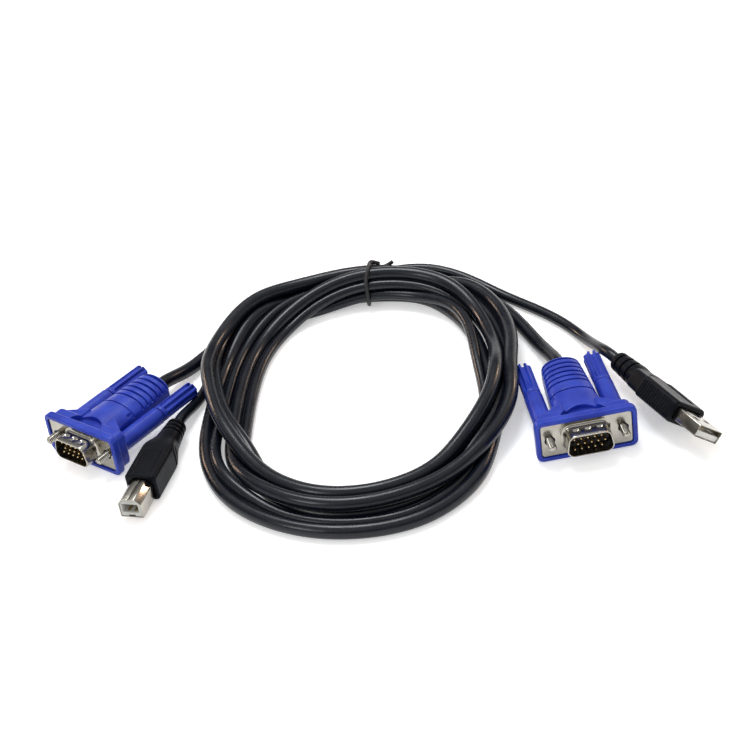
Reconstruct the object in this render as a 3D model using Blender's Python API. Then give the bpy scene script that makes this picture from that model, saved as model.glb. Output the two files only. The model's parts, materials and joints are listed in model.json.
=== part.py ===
"""KVM cable, 1.35 m: a VGA cord and a USB cord moulded side by side, coiled and tied.

Metres, +Z up, the floor is z = 0. Each plug is modelled in its own frame, with
the mating face toward -Y, the cord toward +Y, and the origin in the middle of
the plug's front plane. An empty then lays the plug on the floor.
"""

import math

import bmesh
import bpy
from mathutils import Euler, Matrix, Vector

MM = 0.001
FIT = 0.3 * MM              # clearance between two pieces that seat in each other

# Cords
VGA_CORD_D = 5.2 * MM       # thick cord, plug to plug
USB_CORD_D = 4.0 * MM       # thin cord beside it
CORD_GAP = 0.35 * MM        # where a cord's end meets a plug or the coil
CORD_STRAIGHT = 5.0 * MM    # how far a cord runs straight out of its plug

# VGA plug, standard spacing and metal plate
SCREW_SPACING = 24.99 * MM
PLATE_MARGIN = 2.85 * MM    # from a screw's axis to the plate's end
PLATE_W = SCREW_SPACING + 2 * PLATE_MARGIN
PLATE_H = 12.2 * MM
PLATE_T = 0.8 * MM

# VGA plug, hood
RIM_BORDER = 1.95 * MM      # blue frame around the plate
RIM_W = PLATE_W + 2 * RIM_BORDER
RIM_H = PLATE_H + 2 * RIM_BORDER
RIM_R = 2.4 * MM
RIM_LIP = 0.6 * MM          # how far the rim stands in front of the metal plate
RIM_DEPTH = 2.4 * MM        # behind the plate's front face
TIER_INSET = 0.95 * MM
TIER_W = RIM_W - 2 * TIER_INSET
TIER_H = RIM_H - 2 * TIER_INSET
TIER_END = 6.8 * MM
HOOD_LENGTH = 39.0 * MM
BODY_START = 4.0 * MM       # inside the flange
BODY_HALF_W = 8.2 * MM      # at the flange
BODY_REAR_HALF_W = 7.1 * MM
BODY_TOP = 6.4 * MM         # crown of the arch above the plug's axis
BODY_SHOULDER = 2.2 * MM    # where the arch meets the upright side wall
GRIP_COUNT = 6
GRIP_PITCH = 2.7 * MM
GRIP_START = 24.2 * MM
GRIP_W = 0.7 * MM
GRIP_DEPTH = 0.65 * MM
PANEL_LINE = 19.0 * MM      # single fine line in front of the grip grooves
PANEL_LINE_W = 0.4 * MM
PANEL_LINE_DEPTH = 0.3 * MM
SCOOP_R = 8.6 * MM
SCOOP_REACH = 5.0 * MM
SCOOP_FLOOR = 4.6 * MM
GUSSET_INNER = 6.0 * MM     # from the plug's axis, inside the body
GUSSET_OUTER = SCREW_SPACING / 2 + 0.9 * MM    # inside the screw tower
GUSSET_END = 10.8 * MM
GUSSET_TOP = 6.0 * MM

# VGA plug, thumbscrews
SCREW_D = 2.84 * MM
SCREW_CORE_D = 2.3 * MM
THREAD_PITCH = 0.635 * MM
THREAD_TIP = 0.35 * MM
SCREW_REACH = 5.0 * MM      # in front of the plate
SCREW_TAIL = 9.5 * MM       # length held inside the knob
TOWER_R = 3.3 * MM
TOWER_END = 26.3 * MM
KNOB_R = 3.15 * MM
KNOB_LENGTH = 18.3 * MM
KNOB_FLUTES = 8
KNOB_FLUTE_DEPTH = 0.4 * MM
KNOB_SLOT_W = 1.1 * MM
KNOB_SLOT_DEPTH = 2.0 * MM
SCREW_HOLE_R = 1.8 * MM

# VGA plug, metal shell, insulator and pins
D_WIDE = 16.9 * MM          # wide side of the D, which lies downward
D_HEIGHT = 8.4 * MM
D_SLANT = math.radians(10)
D_CORNER_R = 2.6 * MM
D_REACH = 5.9 * MM
D_WALL = 0.45 * MM
DENT_R = 1.6 * MM
DENT_DEPTH = 0.3 * MM
DENT_PITCH = 4.0 * MM
CORE_FRONT = 0.8 * MM       # insulator's face, in front of the plate
CORE_REAR = 5.6 * MM
PIN_D = 0.76 * MM
PIN_PITCH = 2.29 * MM
PIN_ROW_PITCH = 1.98 * MM
PIN_REACH = 4.8 * MM
PIN_TAIL = 8.2 * MM
PIN_HOLE_R = 0.52 * MM

# USB-A plug
A_SHELL_W = 12.0 * MM
A_SHELL_H = 4.5 * MM
A_WALL = 0.32 * MM
A_REACH = 11.75 * MM
A_SEAT = 5.0 * MM           # shell held inside the boot
A_WINDOW_W = 2.4 * MM
A_WINDOW_L = 2.0 * MM
A_WINDOW_X = 3.0 * MM
A_WINDOW_Y = 5.9 * MM
A_TONGUE_T = 1.9 * MM
A_CONTACT_W = 1.0 * MM
A_CONTACT_T = 0.2 * MM
A_CONTACT_PITCH = 2.2 * MM
A_BOOT_W = 16.0 * MM
A_BOOT_H = 8.0 * MM
A_BOOT_R = 1.9 * MM
A_BOOT_BODY = 25.0 * MM
A_STEP = 17.6 * MM
A_STEP_IN = 0.7 * MM
A_RIB_COUNT = 8
A_RIB_PITCH = 1.3 * MM
A_RIB_START = 4.2 * MM
A_RIB_DEPTH = 0.3 * MM
A_BOOT_LENGTH = 38.5 * MM
A_NECK_R = 4.4 * MM
A_NECK_END_R = 3.6 * MM
A_PANEL_W = 8.6 * MM
A_PANEL_FRONT = 3.2 * MM
A_PANEL_REAR = 21.5 * MM
A_PANEL_DEPTH = 0.45 * MM

# USB-B plug
B_SHELL_W = 8.45 * MM
B_SHELL_H = 7.78 * MM
B_CHAMFER = 2.05 * MM
B_WALL = 0.4 * MM
B_REACH = 10.9 * MM
B_SEAT = 5.0 * MM
B_SEAM_W = 0.5 * MM
B_CAVITY_W = 5.7 * MM
B_CAVITY_H = 3.3 * MM
B_CAVITY_DEPTH = 8.6 * MM
B_KEYWAY_W = 2.4 * MM
B_BOOT_W = 11.4 * MM
B_BOOT_H = 10.4 * MM
B_BOOT_BEVEL = 1.5 * MM
B_BOOT_BODY = 20.0 * MM
B_TAPER = 3.2 * MM          # the square begins to turn round this far before its end
B_SHOULDER = 26.0 * MM      # where the square body has become round
B_BOOT_LENGTH = 34.8 * MM
B_NECK_R = 4.3 * MM
B_NECK_END_R = 3.5 * MM
B_PANEL_W = 7.0 * MM
B_PANEL_LENGTH = 13.0 * MM
B_PANEL_DEPTH = 0.35 * MM

# Rings of a strain relief
SLOT_W = 0.9 * MM
SLOT_DEPTH = 0.75 * MM

# Middle of the plugs' footprint on the floor, in the frame of the places below (mm).
# It becomes the part's origin.
ORIGIN = (-4.83, -28.30, 0.02)

# Where the plugs lie: x, y, z (mm), then heading, nose-up pitch and roll (degrees)
VGA_RIGHT = (66.2, -64.3, 8.1, 2.0, 2.5, 0.0)
VGA_LEFT = (-106.1, -24.0, 8.1, -41.4, 2.5, 0.0)
USB_A = (100.0, -63.1, 7.62, 22.7, -1.5, 42.2)
USB_B = (-84.5, -50.8, 5.65, -19.7, 1.0, 0.0)

# The coil, as one solid around its turns: x, y, half width, bottom, top (mm)
COIL_STATIONS = (
    (4.0, 51.0, 7.0, 1.7, 14.6),
    (26.0, 44.0, 6.6, 0.6, 12.6),
    (39.0, 31.0, 7.4, 0.15, 11.0),
    (44.5, 12.0, 8.6, 0.15, 10.6),
    (44.3, -6.0, 6.6, 0.15, 12.0),
    (42.4, -24.0, 5.4, 0.15, 12.8),
    (37.0, -41.0, 6.5, 0.15, 12.0),
    (30.0, -54.0, 7.6, 0.15, 11.0),
    (21.0, -68.0, 9.0, 0.15, 9.8),
    (7.0, -78.5, 9.9, 0.15, 9.5),
    (-10.0, -81.0, 9.8, 0.15, 9.5),
    (-27.0, -77.5, 9.2, 0.15, 9.5),
    (-41.0, -68.0, 9.0, 0.15, 9.5),
    (-50.5, -55.0, 9.2, 0.15, 10.0),
    (-55.5, -40.0, 9.2, 0.15, 11.0),
    (-56.0, -23.0, 8.6, 0.15, 12.5),
    (-53.2, -3.0, 7.8, 0.15, 13.0),
    (-50.5, 15.0, 9.0, 0.15, 12.0),
    (-43.0, 33.0, 9.4, 0.15, 11.5),
    (-29.0, 45.5, 8.4, 0.4, 12.5),
    (-13.0, 51.0, 7.2, 1.2, 14.0),
)
COIL_AROUND = 16            # facets around the bundle

# Free lengths of the cords between the plugs and the coil (mm)
VGA_RIGHT_ROUTE = ((62.6, -9.0, 3.6), (60.4, 2.0, 2.7), (58.6, 8.0, 2.9))
VGA_LEFT_ROUTE = ((-73.6, 13.0, 3.6), (-67.0, 20.8, 2.8))
USB_RIGHT_ROUTE = ((82.3, -11.5, 4.6), (77.6, 1.0, 2.6), (71.2, 12.0, 2.1),
                   (64.5, 21.5, 2.1), (57.6, 29.5, 2.6), (52.4, 34.8, 3.5))
USB_LEFT_ROUTE = ((-70.6, -11.0, 2.9), (-67.0, -4.4, 2.2))
VGA_RIGHT_END = (55.2, 12.9, 3.3)
VGA_LEFT_END = (-58.6, 26.6, 3.4)
USB_RIGHT_END = (44.8, 38.9, 4.9)
USB_LEFT_END = (-62.0, 1.9, 2.5)

# Wire tie around the coil's top
TIE_D = 1.2 * MM
TIE_X = 4.0 * MM
TIE_TAIL = 9.0 * MM


# Materials

COLOURS = {
    "blue_pvc": ((0.030, 0.045, 0.420), 0.0, 0.42),
    "black_pvc": ((0.012, 0.013, 0.017), 0.0, 0.45),
    "nickel": ((0.640, 0.620, 0.570), 1.0, 0.28),
    "black_core": ((0.010, 0.012, 0.016), 0.0, 0.50),
    "grey_core": ((0.520, 0.530, 0.500), 0.0, 0.50),
    "white_core": ((0.780, 0.770, 0.720), 0.0, 0.45),
    "gold": ((0.830, 0.600, 0.250), 1.0, 0.25),
    "tie_wire": ((0.014, 0.014, 0.015), 0.0, 0.60),
}


def material(kind, owner):
    """Return a Principled material of its own for one piece."""
    colour, metallic, roughness = COLOURS[kind]
    made = bpy.data.materials.new(owner + "_" + kind)
    made.use_nodes = True
    shader = made.node_tree.nodes["Principled BSDF"]
    shader.inputs["Base Color"].default_value = (*colour, 1.0)
    shader.inputs["Metallic"].default_value = metallic
    shader.inputs["Roughness"].default_value = roughness
    return made


# Shape helpers

def rounded_rect(width, height, radius, steps=3):
    """Outline (x, z) of a rectangle with rounded corners."""
    points = []
    for corner in range(4):
        sx = (1, -1, -1, 1)[corner]
        sz = (1, 1, -1, -1)[corner]
        centre_x = sx * (width / 2 - radius)
        centre_z = sz * (height / 2 - radius)
        for step in range(steps + 1):
            turn = math.radians(90 * corner + 90 * step / steps)
            points.append((centre_x + radius * math.cos(turn),
                           centre_z + radius * math.sin(turn)))
    return points


def circle(radius, count, centre=(0.0, 0.0)):
    """Outline (x, z) of a circle."""
    turns = [2 * math.pi * i / count for i in range(count)]
    return [(centre[0] + radius * math.cos(t), centre[1] + radius * math.sin(t)) for t in turns]


def d_outline(grow, steps=4):
    """Outline of the D-shaped shell, wide side down, offset outward by grow."""
    half_h = D_HEIGHT / 2
    half_wide = D_WIDE / 2
    half_narrow = half_wide - D_HEIGHT * math.tan(D_SLANT)
    corners = ((half_narrow, half_h), (-half_narrow, half_h),
               (-half_wide, -half_h), (half_wide, -half_h))
    start_turn = (D_SLANT, math.pi / 2, math.pi - D_SLANT, 1.5 * math.pi)
    sweep = (math.pi / 2 - D_SLANT, math.pi / 2 - D_SLANT,
             math.pi / 2 + D_SLANT, math.pi / 2 + D_SLANT)
    points = []
    for index, (x, z) in enumerate(corners):
        first = start_turn[index]
        last = first + sweep[index]
        middle = (first + last) / 2
        back = D_CORNER_R / math.cos((last - first) / 2)
        centre = (x - back * math.cos(middle), z - back * math.sin(middle))
        for step in range(steps + 1):
            turn = first + (last - first) * step / steps
            points.append((centre[0] + (D_CORNER_R + grow) * math.cos(turn),
                           centre[1] + (D_CORNER_R + grow) * math.sin(turn)))
    return points


def usb_b_outline(grow):
    """Outline of the USB-B shell, square below and chamfered above."""
    half_w = B_SHELL_W / 2 + grow
    half_h = B_SHELL_H / 2 + grow
    cut = B_CHAMFER + grow * (2 - math.sqrt(2))
    return [(half_w, half_h - cut), (half_w - cut, half_h), (cut - half_w, half_h),
            (-half_w, half_h - cut), (-half_w, -half_h), (half_w, -half_h)]


def scaled(outline, width_by, height_by):
    """Scale an outline about the axis."""
    return [(x * width_by, z * height_by) for x, z in outline]


def at(outline, y):
    """Put an outline at y along the plug's axis."""
    return [Vector((x, y, z)) for x, z in outline]


def loft(bm, rings, closed=False):
    """Skin equal rings of points, with end caps unless the loft closes on itself."""
    made = [[bm.verts.new(p) for p in ring] for ring in rings]
    count = len(made[0])
    last = len(made) if closed else len(made) - 1
    for index in range(last):
        here = made[index]
        ahead = made[(index + 1) % len(made)]
        for i in range(count):
            j = (i + 1) % count
            bm.faces.new((here[i], here[j], ahead[j], ahead[i]))
    if not closed:
        bm.faces.new(made[0])
        bm.faces.new(made[-1])
    return made


def finish(bm, name, kind, parent=None, origin=(0.0, 0.0, 0.0)):
    """Turn a bmesh into a named object with outward normals and its own material."""
    bmesh.ops.recalc_face_normals(bm, faces=bm.faces)
    bmesh.ops.translate(bm, verts=bm.verts, vec=-Vector(origin))
    mesh = bpy.data.meshes.new(name)
    bm.to_mesh(mesh)
    bm.free()
    made = bpy.data.objects.new(name, mesh)
    bpy.context.scene.collection.objects.link(made)
    made.location = origin
    made.parent = parent
    if kind:
        mesh.materials.append(material(kind, name))
    return made


def solid(rings, name, kind=None, parent=None, origin=(0.0, 0.0, 0.0)):
    """One lofted closed solid."""
    bm = bmesh.new()
    loft(bm, rings)
    return finish(bm, name, kind, parent, origin)


def solids(ring_sets, name):
    """Several separate lofted solids in one mesh, used as a cutter."""
    bm = bmesh.new()
    for rings in ring_sets:
        loft(bm, rings)
    return finish(bm, name, None)


def combine(target, tool, operation):
    """Apply an exact Boolean and drop the tool."""
    parent = target.parent
    target.parent = None
    place = target.location.copy()
    target.location = (0.0, 0.0, 0.0)
    tool.location = tool.location - place
    step = target.modifiers.new("combine", "BOOLEAN")
    step.operation = operation
    step.solver = "EXACT"
    step.object = tool
    bpy.context.view_layer.update()
    graph = bpy.context.evaluated_depsgraph_get()
    result = bpy.data.meshes.new_from_object(target.evaluated_get(graph))
    target.modifiers.clear()
    old = target.data
    target.data = result
    result.name = target.name
    bpy.data.meshes.remove(old)
    bpy.data.objects.remove(tool)
    target.location = place
    target.parent = parent


def box(x0, x1, y0, y1, z0, z1):
    """Rings of a plain box between two y planes."""
    outline = [(x1, z1), (x0, z1), (x0, z0), (x1, z0)]
    return [at(outline, y0), at(outline, y1)]


def plug_empty(name, place):
    """Empty that lays a plug on the floor."""
    x, y, z, heading, pitch, roll = place
    made = bpy.data.objects.new(name, None)
    bpy.context.scene.collection.objects.link(made)
    made.rotation_mode = "YXZ"
    made.location = (x * MM, y * MM, z * MM)
    made.rotation_euler = (math.radians(-pitch), math.radians(roll), math.radians(heading))
    return made


def plug_point(place, point):
    """World place of a point given in a plug's own frame."""
    x, y, z, heading, pitch, roll = place
    turn = Euler((math.radians(-pitch), math.radians(roll), math.radians(heading)), "YXZ")
    return Vector((x, y, z)) * MM + turn.to_matrix() @ Vector(point)


# VGA plug

def arch_outline(half_width, sink):
    """Section of the hood's body: an arch above and below upright side walls."""
    points = []
    steps = 8
    for side in (1, -1):
        for step in range(steps + 1):
            turn = math.pi * step / steps
            x = side * (half_width - sink) * math.cos(turn)
            z = side * (BODY_SHOULDER + (BODY_TOP - BODY_SHOULDER - sink) * math.sin(turn))
            points.append((x, z))
        points.append((-side * half_width, side * BODY_SHOULDER * 0.93))
        points.append((-side * half_width, -side * BODY_SHOULDER * 0.93))
    return points


def body_half_width(y):
    """The body narrows from the flange to the cord end."""
    share = (y - TIER_END) / (HOOD_LENGTH - TIER_END)
    return BODY_HALF_W + (BODY_REAR_HALF_W - BODY_HALF_W) * share


def hood_body():
    """Body with its grip grooves, as one loft."""
    edge = 0.12 * MM
    rings = [at(arch_outline(body_half_width(BODY_START), 0.0), BODY_START)]
    lines = [(PANEL_LINE, PANEL_LINE_W, PANEL_LINE_DEPTH)]
    for index in range(GRIP_COUNT):
        lines.append((GRIP_START + index * GRIP_PITCH, GRIP_W, GRIP_DEPTH))
    for centre, width, depth in lines:
        for y, sink in ((centre - width / 2 - edge, 0.0), (centre - width / 2, depth),
                        (centre + width / 2, depth), (centre + width / 2 + edge, 0.0)):
            rings.append(at(arch_outline(body_half_width(y), sink), y))
    tail = arch_outline(BODY_REAR_HALF_W, 0.0)
    rings.append(at(tail, HOOD_LENGTH - 0.5 * MM))
    rings.append(at(scaled(tail, 0.94, 0.93), HOOD_LENGTH))
    return rings


def build_hood(prefix, parent):
    """Blue hood: flange, body, two screw towers and four gussets, moulded as one."""
    rim = rounded_rect(RIM_W, RIM_H, RIM_R)
    tier = rounded_rect(TIER_W, TIER_H, RIM_R)
    bevel = 0.4 * MM
    flange = [at(rounded_rect(RIM_W - 2 * bevel, RIM_H - 2 * bevel, RIM_R - bevel), -RIM_LIP),
              at(rim, bevel - RIM_LIP), at(rim, RIM_DEPTH - bevel),
              at(rounded_rect(RIM_W - bevel, RIM_H - bevel, RIM_R), RIM_DEPTH),
              at(tier, RIM_DEPTH + 0.1 * MM), at(tier, TIER_END - 2 * bevel),
              at(scaled(tier, 0.96, 0.92), TIER_END)]
    hood = solid(flange, prefix + "_hood", "blue_pvc", parent)
    combine(hood, solid(hood_body(), "body"), "UNION")
    for side in (-1, 1):
        centre = (side * SCREW_SPACING / 2, 0.0)
        tower = solid([at(circle(TOWER_R, 24, centre), TIER_END - 2 * MM),
                       at(circle(TOWER_R, 24, centre), TOWER_END - 0.3 * MM),
                       at(circle(TOWER_R - 0.3 * MM, 24, centre), TOWER_END)], "tower")
        combine(hood, tower, "UNION")
        inner = side * GUSSET_INNER
        outer = side * GUSSET_OUTER
        plan = [(inner, TIER_END - 2 * MM), (outer, TIER_END - 2 * MM),
                (outer, TIER_END + 0.6 * MM), (inner, GUSSET_END)]
        gusset = solid([[Vector((x, y, -GUSSET_TOP)) for x, y in plan],
                        [Vector((x, y, GUSSET_TOP)) for x, y in plan]], "gusset")
        combine(hood, gusset, "UNION")
    pocket = rounded_rect(PLATE_W + 2 * FIT, PLATE_H + 2 * FIT, 1.2 * MM)
    combine(hood, solid([at(pocket, -2 * MM), at(pocket, PLATE_T + FIT)], "pocket"), "DIFFERENCE")
    bores = []
    for side in (-1, 1):
        bore = circle(SCREW_HOLE_R, 16, (side * SCREW_SPACING / 2, 0.0))
        bores.append([at(bore, PLATE_T), at(bore, TOWER_END + 1 * MM)])
    combine(hood, solids(bores, "bores"), "DIFFERENCE")
    inside = d_outline(FIT)
    combine(hood, solid([at(inside, PLATE_T), at(inside, PIN_TAIL + 2 * FIT)], "well"),
            "DIFFERENCE")
    for side in (-1, 1):
        plan = scoop_plan()
        floor_z = side * SCOOP_FLOOR
        sky = side * RIM_H
        scoop = solid([[Vector((x, y, floor_z)) for x, y in plan],
                       [Vector((x, y, sky)) for x, y in plan]], "scoop")
        combine(hood, scoop, "DIFFERENCE")
    return hood


def scoop_plan():
    """Crescent cut behind the flange, as a circle's segment seen from above."""
    start = RIM_DEPTH + 1.0 * MM
    centre = start + SCOOP_REACH - SCOOP_R
    half_chord = math.sqrt(SCOOP_R ** 2 - (SCOOP_R - SCOOP_REACH) ** 2)
    sweep = math.asin(half_chord / SCOOP_R)
    points = []
    for step in range(13):
        turn = -sweep + 2 * sweep * step / 12
        points.append((SCOOP_R * math.sin(turn), centre + SCOOP_R * math.cos(turn)))
    return points


def build_vga_shell(prefix, parent):
    """Nickel plate and D-shaped shell, pressed from one sheet."""
    plate = rounded_rect(PLATE_W, PLATE_H, 1.0 * MM)
    shell = solid([at(plate, 0.0), at(plate, PLATE_T)], prefix + "_shell", "nickel", parent)
    skirt = [at(d_outline(0.8 * MM), 0.2 * MM), at(d_outline(0.3 * MM), -0.3 * MM),
             at(d_outline(0.0), -0.9 * MM), at(d_outline(0.0), 0.25 * MM - D_REACH),
             at(d_outline(-0.15 * MM), -D_REACH)]
    combine(shell, solid(skirt, "skirt"), "UNION")
    bore = d_outline(-D_WALL)
    cuts = [[at(bore, -D_REACH - 1 * MM), at(bore, PLATE_T + 1 * MM)]]
    for side in (-1, 1):
        hole = circle(SCREW_HOLE_R, 16, (side * SCREW_SPACING / 2, 0.0))
        cuts.append([at(hole, -1 * MM), at(hole, PLATE_T + 1 * MM)])
    combine(shell, solids(cuts, "bores"), "DIFFERENCE")
    bm = bmesh.new()
    for index in (-1, 0, 1):
        centre = Vector((index * DENT_PITCH, -D_REACH * 0.55, D_HEIGHT / 2 + DENT_R - DENT_DEPTH))
        bmesh.ops.create_icosphere(bm, subdivisions=2, radius=DENT_R,
                                   matrix=Matrix.Translation(centre))
    combine(shell, finish(bm, "dents", None), "DIFFERENCE")
    return shell


def pin_places():
    """Three rows of five; the middle row is half a pitch to the right."""
    places = []
    for row in (1, 0, -1):
        shift = PIN_PITCH / 4 if row == 0 else -PIN_PITCH / 4
        for column in range(5):
            places.append(((column - 2) * PIN_PITCH + shift, row * PIN_ROW_PITCH))
    return places


def build_vga_core(prefix, parent):
    """Insulator with its fifteen pins."""
    outline = d_outline(-D_WALL - FIT)
    core = solid([at(outline, -CORE_FRONT), at(outline, CORE_REAR)],
                 prefix + "_insulator", "black_core", parent)
    holes = []
    for place in pin_places():
        hole = circle(PIN_HOLE_R, 8, place)
        holes.append([at(hole, -CORE_FRONT - 1 * MM), at(hole, CORE_REAR + 1 * MM)])
    combine(core, solids(holes, "pin_holes"), "DIFFERENCE")
    radius = PIN_D / 2
    for index, (x, z) in enumerate(pin_places()):
        rings = []
        for y, share in ((-PIN_REACH, 0.45), (0.3 * MM - PIN_REACH, 0.9),
                         (0.7 * MM - PIN_REACH, 1.0), (PIN_TAIL, 1.0)):
            rings.append(at(circle(radius * share, 8, (x, z)), y))
        solid(rings, "%s_pin_%02d" % (prefix, index + 1), "gold", parent)


def thread_rings(centre):
    """Turned profile of a 4-40 screw: chamfered tip, thread crests, plain shank."""
    outer = SCREW_D / 2
    core = SCREW_CORE_D / 2
    tip = -SCREW_REACH
    rings = [(tip, core * 0.8), (tip + THREAD_TIP, core)]
    crests = int((SCREW_REACH + PLATE_T) / THREAD_PITCH)
    for index in range(crests):
        y = tip + THREAD_TIP + THREAD_PITCH * (index + 0.5)
        rings.append((y, outer))
        rings.append((y + THREAD_PITCH / 2, core))
    rings.append((PLATE_T + 1.5 * MM, outer))
    rings.append((TOWER_END + SCREW_TAIL, outer))
    return [at(circle(radius, 12, centre), y) for y, radius in rings]


def build_thumbscrew(prefix, side, parent):
    """Knob and its screw; both turn about the screw's axis."""
    label = "left" if side < 0 else "right"
    centre_x = side * SCREW_SPACING / 2
    origin = (centre_x, 0.0, 0.0)
    solid(thread_rings((centre_x, 0.0)), "%s_screw_%s" % (prefix, label), "nickel",
          parent, origin)
    count = KNOB_FLUTES * 4
    outline = []
    for index in range(count):
        turn = 2 * math.pi * index / count
        radius = KNOB_R - (KNOB_FLUTE_DEPTH if index % 4 == 0 else 0.0)
        outline.append((radius * math.cos(turn), radius * math.sin(turn)))
    front = TOWER_END + FIT
    rear = front + KNOB_LENGTH
    rings = []
    for y, share in ((front, 0.93), (front + 0.4 * MM, 1.0), (rear - 0.9 * MM, 1.0),
                     (rear - 0.3 * MM, 0.93), (rear, 0.78)):
        rings.append([Vector((centre_x + x * share, y, z * share)) for x, z in outline])
    knob = solid(rings, "%s_knob_%s" % (prefix, label), "blue_pvc", parent, origin)
    hole = circle(SCREW_D / 2 + FIT, 16, (centre_x, 0.0))
    slot = KNOB_SLOT_W / 2
    cuts = [[at(hole, front - 1 * MM), at(hole, TOWER_END + SCREW_TAIL + FIT)],
            box(centre_x - slot, centre_x + slot, rear - KNOB_SLOT_DEPTH, rear + 1 * MM,
                -2 * KNOB_R, 2 * KNOB_R)]
    combine(knob, solids(cuts, "knob_cuts"), "DIFFERENCE")


def build_vga(prefix, place):
    """One VGA plug with everything it holds."""
    parent = plug_empty(prefix + "_place", place)
    build_hood(prefix, parent)
    build_vga_shell(prefix, parent)
    build_vga_core(prefix, parent)
    for side in (-1, 1):
        build_thumbscrew(prefix, side, parent)


# USB plugs

def blend(first, second, share):
    """Mix two outlines that have the same number of points."""
    mixed = []
    for (x0, z0), (x1, z1) in zip(first, second):
        mixed.append((x0 + (x1 - x0) * share, z0 + (z1 - z0) * share))
    return mixed


def matched_circle(outline, radius):
    """Circle whose points lie in the directions of another outline's points."""
    points = []
    for x, z in outline:
        length = math.hypot(x, z)
        points.append((x * radius / length, z * radius / length))
    return points


def relief_rings(outline, start, end, start_r, end_r, slots):
    """Strain relief: a tapering round neck with ring slots."""
    rings = []
    span = end - start
    marks = [(start, 0.0)]
    for index in range(slots):
        centre = start + span * (index + 0.8) / (slots + 0.6)
        marks += [(centre - SLOT_W / 2 - 0.1 * MM, 0.0), (centre - SLOT_W / 2, SLOT_DEPTH),
                  (centre + SLOT_W / 2, SLOT_DEPTH), (centre + SLOT_W / 2 + 0.1 * MM, 0.0)]
    marks += [(end - 0.5 * MM, 0.0), (end, 0.5 * MM)]
    for y, sink in marks:
        radius = start_r + (end_r - start_r) * (y - start) / span - sink
        rings.append(at(matched_circle(outline, radius), y))
    return rings


def build_usb_a(place):
    """USB-A plug: boot, shell, tongue and four contacts."""
    prefix = "usb_a"
    parent = plug_empty(prefix + "_place", place)
    outline = rounded_rect(A_BOOT_W, A_BOOT_H, A_BOOT_R)
    side = rounded_rect(A_BOOT_W - 2 * A_RIB_DEPTH, A_BOOT_H, A_BOOT_R)
    bevel = rounded_rect(A_BOOT_W - 0.8 * MM, A_BOOT_H - 0.8 * MM, A_BOOT_R - 0.4 * MM)
    waist = rounded_rect(A_BOOT_W - 2 * A_STEP_IN, A_BOOT_H - 0.6 * MM, A_BOOT_R)
    rings = [at(bevel, 0.0), at(outline, 0.4 * MM)]
    for index in range(A_RIB_COUNT):
        y = A_RIB_START + index * A_RIB_PITCH
        rings += [at(outline, y), at(side, y + 0.15 * MM), at(side, y + A_RIB_PITCH / 2),
                  at(outline, y + A_RIB_PITCH / 2 + 0.15 * MM)]
    rings += [at(outline, A_STEP), at(waist, A_STEP + 0.4 * MM),
              at(blend(waist, matched_circle(waist, A_NECK_R), 0.15), A_BOOT_BODY - 1.2 * MM),
              at(blend(waist, matched_circle(waist, A_NECK_R), 0.75), A_BOOT_BODY + 0.8 * MM)]
    rings += relief_rings(waist, A_BOOT_BODY + 1.6 * MM, A_BOOT_LENGTH, A_NECK_R,
                          A_NECK_END_R, 3)
    boot = solid(rings, prefix + "_boot", "black_pvc", parent)
    seat = rounded_rect(A_SHELL_W + 2 * FIT, A_SHELL_H + 2 * FIT, 0.6 * MM)
    combine(boot, solid([at(seat, -1 * MM), at(seat, A_SEAT + FIT)], "seat"), "DIFFERENCE")
    top = A_BOOT_H / 2
    plan = [(-A_PANEL_W / 2, A_PANEL_FRONT), (A_PANEL_W / 2, A_PANEL_FRONT)]
    for step in range(9):
        turn = math.pi * step / 8
        plan.append((A_PANEL_W / 2 * math.cos(turn),
                     A_PANEL_REAR - 2.5 * MM + 2.5 * MM * math.sin(turn)))
    panel = solid([[Vector((x, y, top - A_PANEL_DEPTH)) for x, y in plan],
                   [Vector((x, y, top + 1 * MM)) for x, y in plan]], "panel")
    combine(boot, panel, "DIFFERENCE")

    tube = rounded_rect(A_SHELL_W, A_SHELL_H, 0.5 * MM)
    shell = solid([at(tube, -A_REACH), at(tube, A_SEAT)], prefix + "_shell", "nickel", parent)
    inner_w = A_SHELL_W - 2 * A_WALL
    inner_h = A_SHELL_H - 2 * A_WALL
    hollow = rounded_rect(inner_w, inner_h, 0.25 * MM)
    cuts = [[at(hollow, -A_REACH - 1 * MM), at(hollow, A_SEAT + 1 * MM)]]
    for x in (-A_WINDOW_X, A_WINDOW_X):
        cuts.append(box(x - A_WINDOW_W / 2, x + A_WINDOW_W / 2, -A_WINDOW_Y - A_WINDOW_L / 2,
                        -A_WINDOW_Y + A_WINDOW_L / 2, 0.5 * MM, A_SHELL_H))
    for cut in cuts:
        combine(shell, solid(cut, "cut"), "DIFFERENCE")

    bottom = FIT - inner_h / 2
    tongue_top = bottom + A_TONGUE_T
    half = inner_w / 2 - FIT
    tongue = solid(box(-half, half, 0.4 * MM - A_REACH, A_SEAT - 0.5 * MM, bottom, tongue_top),
                   prefix + "_tongue", "white_core", parent)
    slot_half = A_CONTACT_W / 2 + 0.15 * MM
    slot_floor = tongue_top - A_CONTACT_T - 0.1 * MM
    slots = []
    for index in range(4):
        x = (index - 1.5) * A_CONTACT_PITCH
        slots.append(box(x - slot_half, x + slot_half, 1.2 * MM - A_REACH, A_SEAT - 1.0 * MM,
                         slot_floor, tongue_top + 1 * MM))
        reach = (1.4 if index in (0, 3) else 2.4) * MM
        solid(box(x - A_CONTACT_W / 2, x + A_CONTACT_W / 2, reach - A_REACH,
                  A_SEAT - 1.2 * MM, slot_floor + 0.1 * MM, slot_floor + 0.1 * MM + A_CONTACT_T),
              "%s_contact_%d" % (prefix, index + 1), "gold", parent)
    combine(tongue, solids(slots, "slots"), "DIFFERENCE")


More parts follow.
